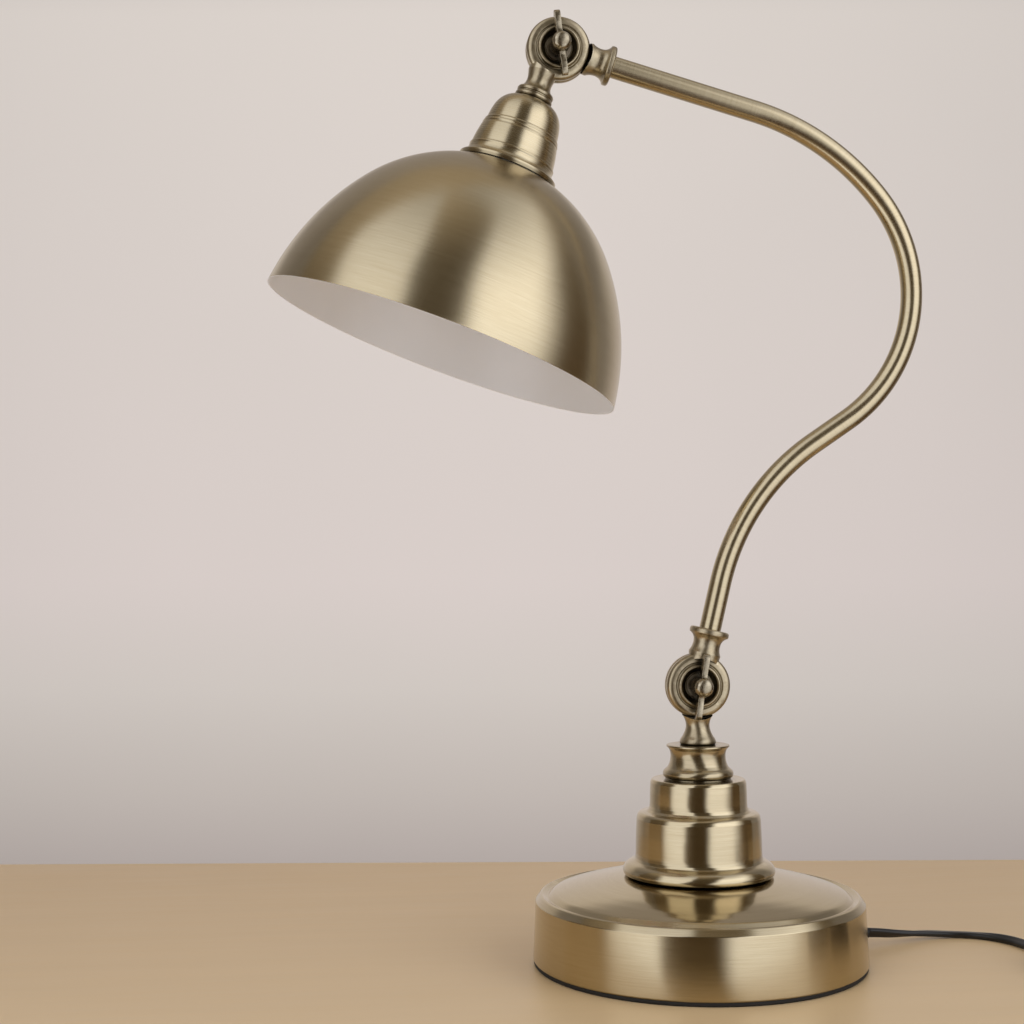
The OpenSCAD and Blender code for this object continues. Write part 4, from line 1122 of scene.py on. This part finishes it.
KEPT = {"base_weight": M_IRON, "stem_nipple": M_ZINC, "stem_washer": M_ZINC, "stem_nut": M_ZINC, "cord_clip": M_ZINC, "base_lead": M_PVC, "collar_screws": M_BOLT,
        "arm_lead": M_PVC, "head_nipple": M_ZINC, "head_nut": M_ZINC, "holder_shell": M_NICKEL, "holder_contact": M_NICKEL, "head_lead": M_PVC, "bulb_contact": M_ZINC}
for n, mat in KEPT.items():
    ob = NODES[n]
    ob.data.materials.clear()
    ob.data.materials.append(mat)

# ---------------------------------------------------------------- room and light


def stage_mesh(name, verts, faces, mat, smooth=False):
    ob = make_mesh(name, [tuple(c * 1000 for c in v) for v in verts], faces, None, None, None, None, (mat,), smooth)
    return ob


def table_material():
    m = Nodes("table_top")
    obj = m.coords("Object")
    n1 = m.noise(m.scaled(obj, 1.2, 16, 1), 3.0, 4.0, 0.6)
    n2 = m.noise(m.scaled(obj, 12, 220, 1), 1.0, 3.0, 0.6)
    so = m.node("ShaderNodeSeparateXYZ")
    m.link(obj, so.inputs[0])
    # painted light: the top is paler towards the front edge and darker towards the back
    col = m.ramp(m.remap(so.outputs[1], 0.28, -0.2, 0.0, 1.0), [(0.0, (0.74, 0.52, 0.275)), (1.0, (0.97, 0.73, 0.43))])
    grain = m.ramp(m.math("ADD", m.math("MULTIPLY", n1, 0.7), m.math("MULTIPLY", n2, 0.3)), [(0.3, (0.96, 0.955, 0.94)), (0.7, (1.0, 1.0, 1.0))])
    col = m.mix(1.0, col, grain, "MULTIPLY")
    m.link(col, m.bsdf.inputs["Base Color"])
    m.link(m.remap(n2, 0.3, 0.7, 0.34, 0.42), m.bsdf.inputs["Roughness"])
    m.set(Specular_IOR_Level=0.35)
    return m.mat


def wall_material():
    """Pale wall whose light is painted in as a glow: brighter up high as if lit from above, darker towards the floor
    and a little to both sides.
    """
    m = Nodes("wall")
    obj = m.coords("Object")
    n1 = m.noise(obj, 1.5, 3.0, 0.5)
    so = m.node("ShaderNodeSeparateXYZ")
    m.link(obj, so.inputs[0])
    m.link(m.ramp(n1, [(0.3, (0.24, 0.225, 0.21)), (0.7, (0.26, 0.24, 0.225))]), m.bsdf.inputs["Base Color"])
    m.link(m.remap(n1, 0, 1, 0.85, 0.95), m.bsdf.inputs["Roughness"])
    # painted light: the wall glows, dark low down, brightest up to about 1.2 m, darker again above
    painted_wall_light = m.ramp(m.remap(so.outputs[2], -0.5, 3.0, 0.0, 1.0), [(0.02, WALL_PAINTED_LIGHT[0]), (0.057, WALL_PAINTED_LIGHT[1]), (0.086, WALL_PAINTED_LIGHT[2]), (0.137, WALL_PAINTED_LIGHT[3]), (0.19, WALL_PAINTED_LIGHT[4]), (0.475, WALL_PAINTED_LIGHT[5]), (0.58, WALL_PAINTED_LIGHT[6])])
    # painted shade: the glow fades towards both sides
    side = m.math("MULTIPLY", so.outputs[0], so.outputs[0])
    m.link(m.mix(m.math("MINIMUM", m.math("MULTIPLY", side, 0.125), 0.85), painted_wall_light, (0.0, 0.0, 0.0)), m.bsdf.inputs["Emission Color"])
    m.set(Specular_IOR_Level=0.1, Emission_Strength=1.0)
    return m.mat


# glow colours of the wall by height: painted light, not the wall's own colour
WALL_PAINTED_LIGHT = [(0.16, 0.14, 0.125), (0.27, 0.23, 0.21), (0.34, 0.30, 0.27), (0.44, 0.40, 0.365), (0.50, 0.44, 0.415), (0.52, 0.475, 0.435), (0.18, 0.16, 0.145)]
M_TABLE, M_WALL = table_material(), wall_material()


def facing(u, v, z):
    """The room stands square to the camera's heading: u to its right, v away from it."""
    return (0.9946 * u + 0.1035 * v, -0.1035 * u + 0.9946 * v, z)


stage_mesh("table", [facing(u, v, z) for z in (0, -0.04) for u, v in ((-0.9, -0.15), (0.4, -0.15), (0.4, 0.278), (-0.9, 0.278))],
           [(0, 1, 2, 3), (4, 7, 6, 5), (0, 4, 5, 1), (1, 5, 6, 2), (2, 6, 7, 3), (3, 7, 4, 0)], M_TABLE)
stage_mesh("backdrop", [facing(u, 2.0, z) for u, z in ((-6, -1.6), (6, -1.6), (6, 4.5), (-6, 4.5))], [(0, 1, 2, 3)], M_WALL)


# ---------------------------------------------------------------- light
# Two tall soft boxes stand in a dim warm room, to the left and right of the
# camera. They are painted in the world by direction: turn is the angle from
# the camera's side towards +X and climb the angle above the horizon.

world = bpy.data.worlds.new("world")
scene.world = world
world.use_nodes = True
wt = world.node_tree
bg = wt.nodes["Background"]
bg.inputs[1].default_value = 1.0


def w_math(op, a, b=0.0, c=None):
    n = wt.nodes.new("ShaderNodeMath")
    n.operation = op
    for src, key in ((a, 0), (b, 1), (c, 2)):
        if src is None:
            continue
        if isinstance(src, (int, float)):
            n.inputs[key].default_value = src
        else:
            wt.links.new(src, n.inputs[key])
    return n.outputs[0]


def w_mix(fac, a, b):
    n = wt.nodes.new("ShaderNodeMix")
    n.data_type = "RGBA"
    wt.links.new(fac, n.inputs[0])
    for v, k in ((a, 6), (b, 7)):
        if isinstance(v, tuple):
            n.inputs[k].default_value = (*v, 1)
        else:
            wt.links.new(v, n.inputs[k])
    return n.outputs[2]


def w_step(src, edge, soft):
    """0 below edge - soft, 1 above edge + soft."""
    n = wt.nodes.new("ShaderNodeMapRange")
    n.interpolation_type = "SMOOTHSTEP"
    wt.links.new(src, n.inputs["Value"])
    if isinstance(edge, (int, float)):
        n.inputs["From Min"].default_value = edge - soft
        n.inputs["From Max"].default_value = edge + soft
    else:
        wt.links.new(w_math("SUBTRACT", edge, soft), n.inputs["From Min"])
        wt.links.new(w_math("ADD", edge, soft), n.inputs["From Max"])
    return n.outputs[0]


def w_ramp(stops):
    """Value or colour by climb in degrees."""
    n = wt.nodes.new("ShaderNodeValToRGB")
    e = n.color_ramp.elements
    while len(e) < len(stops):
        e.new(0.5)
    for el, (deg, v) in zip(e, stops):
        el.position = deg / 180 + 0.5
        el.color = (*v, 1) if isinstance(v, tuple) else (v, v, v, 1)
    wt.links.new(w_math("MULTIPLY_ADD", climb, 1 / 180, 0.5), n.inputs[0])
    return n.outputs[0]


def w_angle(stops):
    return w_math("MULTIPLY_ADD", w_ramp([(d, (a + 180) / 360) for d, a in stops]), 360.0, -180.0)


tc = wt.nodes.new("ShaderNodeTexCoord")
sp = wt.nodes.new("ShaderNodeSeparateXYZ")
wt.links.new(tc.outputs["Generated"], sp.inputs[0])
turn = w_math("MULTIPLY", w_math("ARCTAN2", sp.outputs[0], w_math("MULTIPLY", sp.outputs[1], -1.0)), 57.29578)
climb = w_math("MULTIPLY", w_math("ARCSINE", sp.outputs[2]), 57.29578)


def soft_box(room, inner, outer, level, side):
    """side -1 is the left box: its outer edge is the lower angle."""
    lo, hi = (outer, inner) if side < 0 else (inner, outer)
    on = w_math("MULTIPLY", w_step(turn, w_angle(lo[1]), lo[0]), w_math("SUBTRACT", 1.0, w_step(turn, w_angle(hi[1]), hi[0])))
    n = wt.nodes.new("ShaderNodeVectorMath")
    n.operation = "SCALE"
    n.inputs[0].default_value = (1.0, 1.01, 1.07)
    wt.links.new(w_math("MULTIPLY", w_ramp([(d, v / 2) for d, v in level]), 2.0), n.inputs["Scale"])
    m = wt.nodes.new("ShaderNodeMix")
    m.data_type = "RGBA"
    wt.links.new(on, m.inputs[0])
    wt.links.new(room, m.inputs[6])
    wt.links.new(n.outputs[0], m.inputs[7])
    return m.outputs[2]


front = w_ramp([(-30, (0.06, 0.03, 0.01)), (0, (0.07, 0.05, 0.026)), (50, (0.10, 0.08, 0.052)), (60, (0.18, 0.145, 0.10)), (78, (0.38, 0.32, 0.24)), (90, (0.50, 0.42, 0.33))])
left = w_ramp([(-25, (0.36, 0.27, 0.15)), (-8, (0.13, 0.095, 0.06)), (30, (0.14, 0.11, 0.075)), (50, (0.36, 0.30, 0.225)), (90, (0.50, 0.42, 0.32))])
right = w_ramp([(-20, (0.10, 0.06, 0.025)), (5, (0.10, 0.07, 0.04)), (30, (0.14, 0.11, 0.075)), (50, (0.36, 0.30, 0.225)), (90, (0.50, 0.42, 0.32))])
sides = w_mix(w_step(turn, 0.0, 20.0), left, right)
room = w_mix(w_step(w_math("ABSOLUTE", w_math("SUBTRACT", turn, 12.0)), 45.0, 15.0), front, sides)
room = soft_box(room, (3.5, [(-35, -48), (-15, -42), (0, -34), (30, -23), (46, -24), (60, -18)]), (8.0, [(-30, -92), (-10, -84), (5, -72), (36, -77), (55, -95)]),
                [(-35, 1.4), (-12, 1.3), (0, 1.17), (39, 1.22), (46, 1.1), (60, 0.92), (75, 0.68), (85, 0.55)], -1)
room = soft_box(room, (7.0, [(-15, 4), (0, 8), (20, 17), (35, 20), (45, 26), (57, 42), (65, 60)]), (15.0, [(-15, 59), (11, 70), (28, 74), (46, 94), (55, 112)]),
                [(-35, 1.1), (-10, 1.2), (5, 1.4), (15, 1.65), (30, 1.69), (38, 1.4), (50, 1.03), (60, 0.7), (75, 0.5)], 1)
lp = wt.nodes.new("ShaderNodeLightPath")
wt.links.new(w_mix(lp.outputs["Is Camera Ray"], room, (0.62, 0.56, 0.52)), bg.inputs[0])

scene.view_settings.view_transform = "Standard"
scene.view_settings.look = "None"
scene.view_settings.exposure = 0.0
scene.view_settings.gamma = 1.0
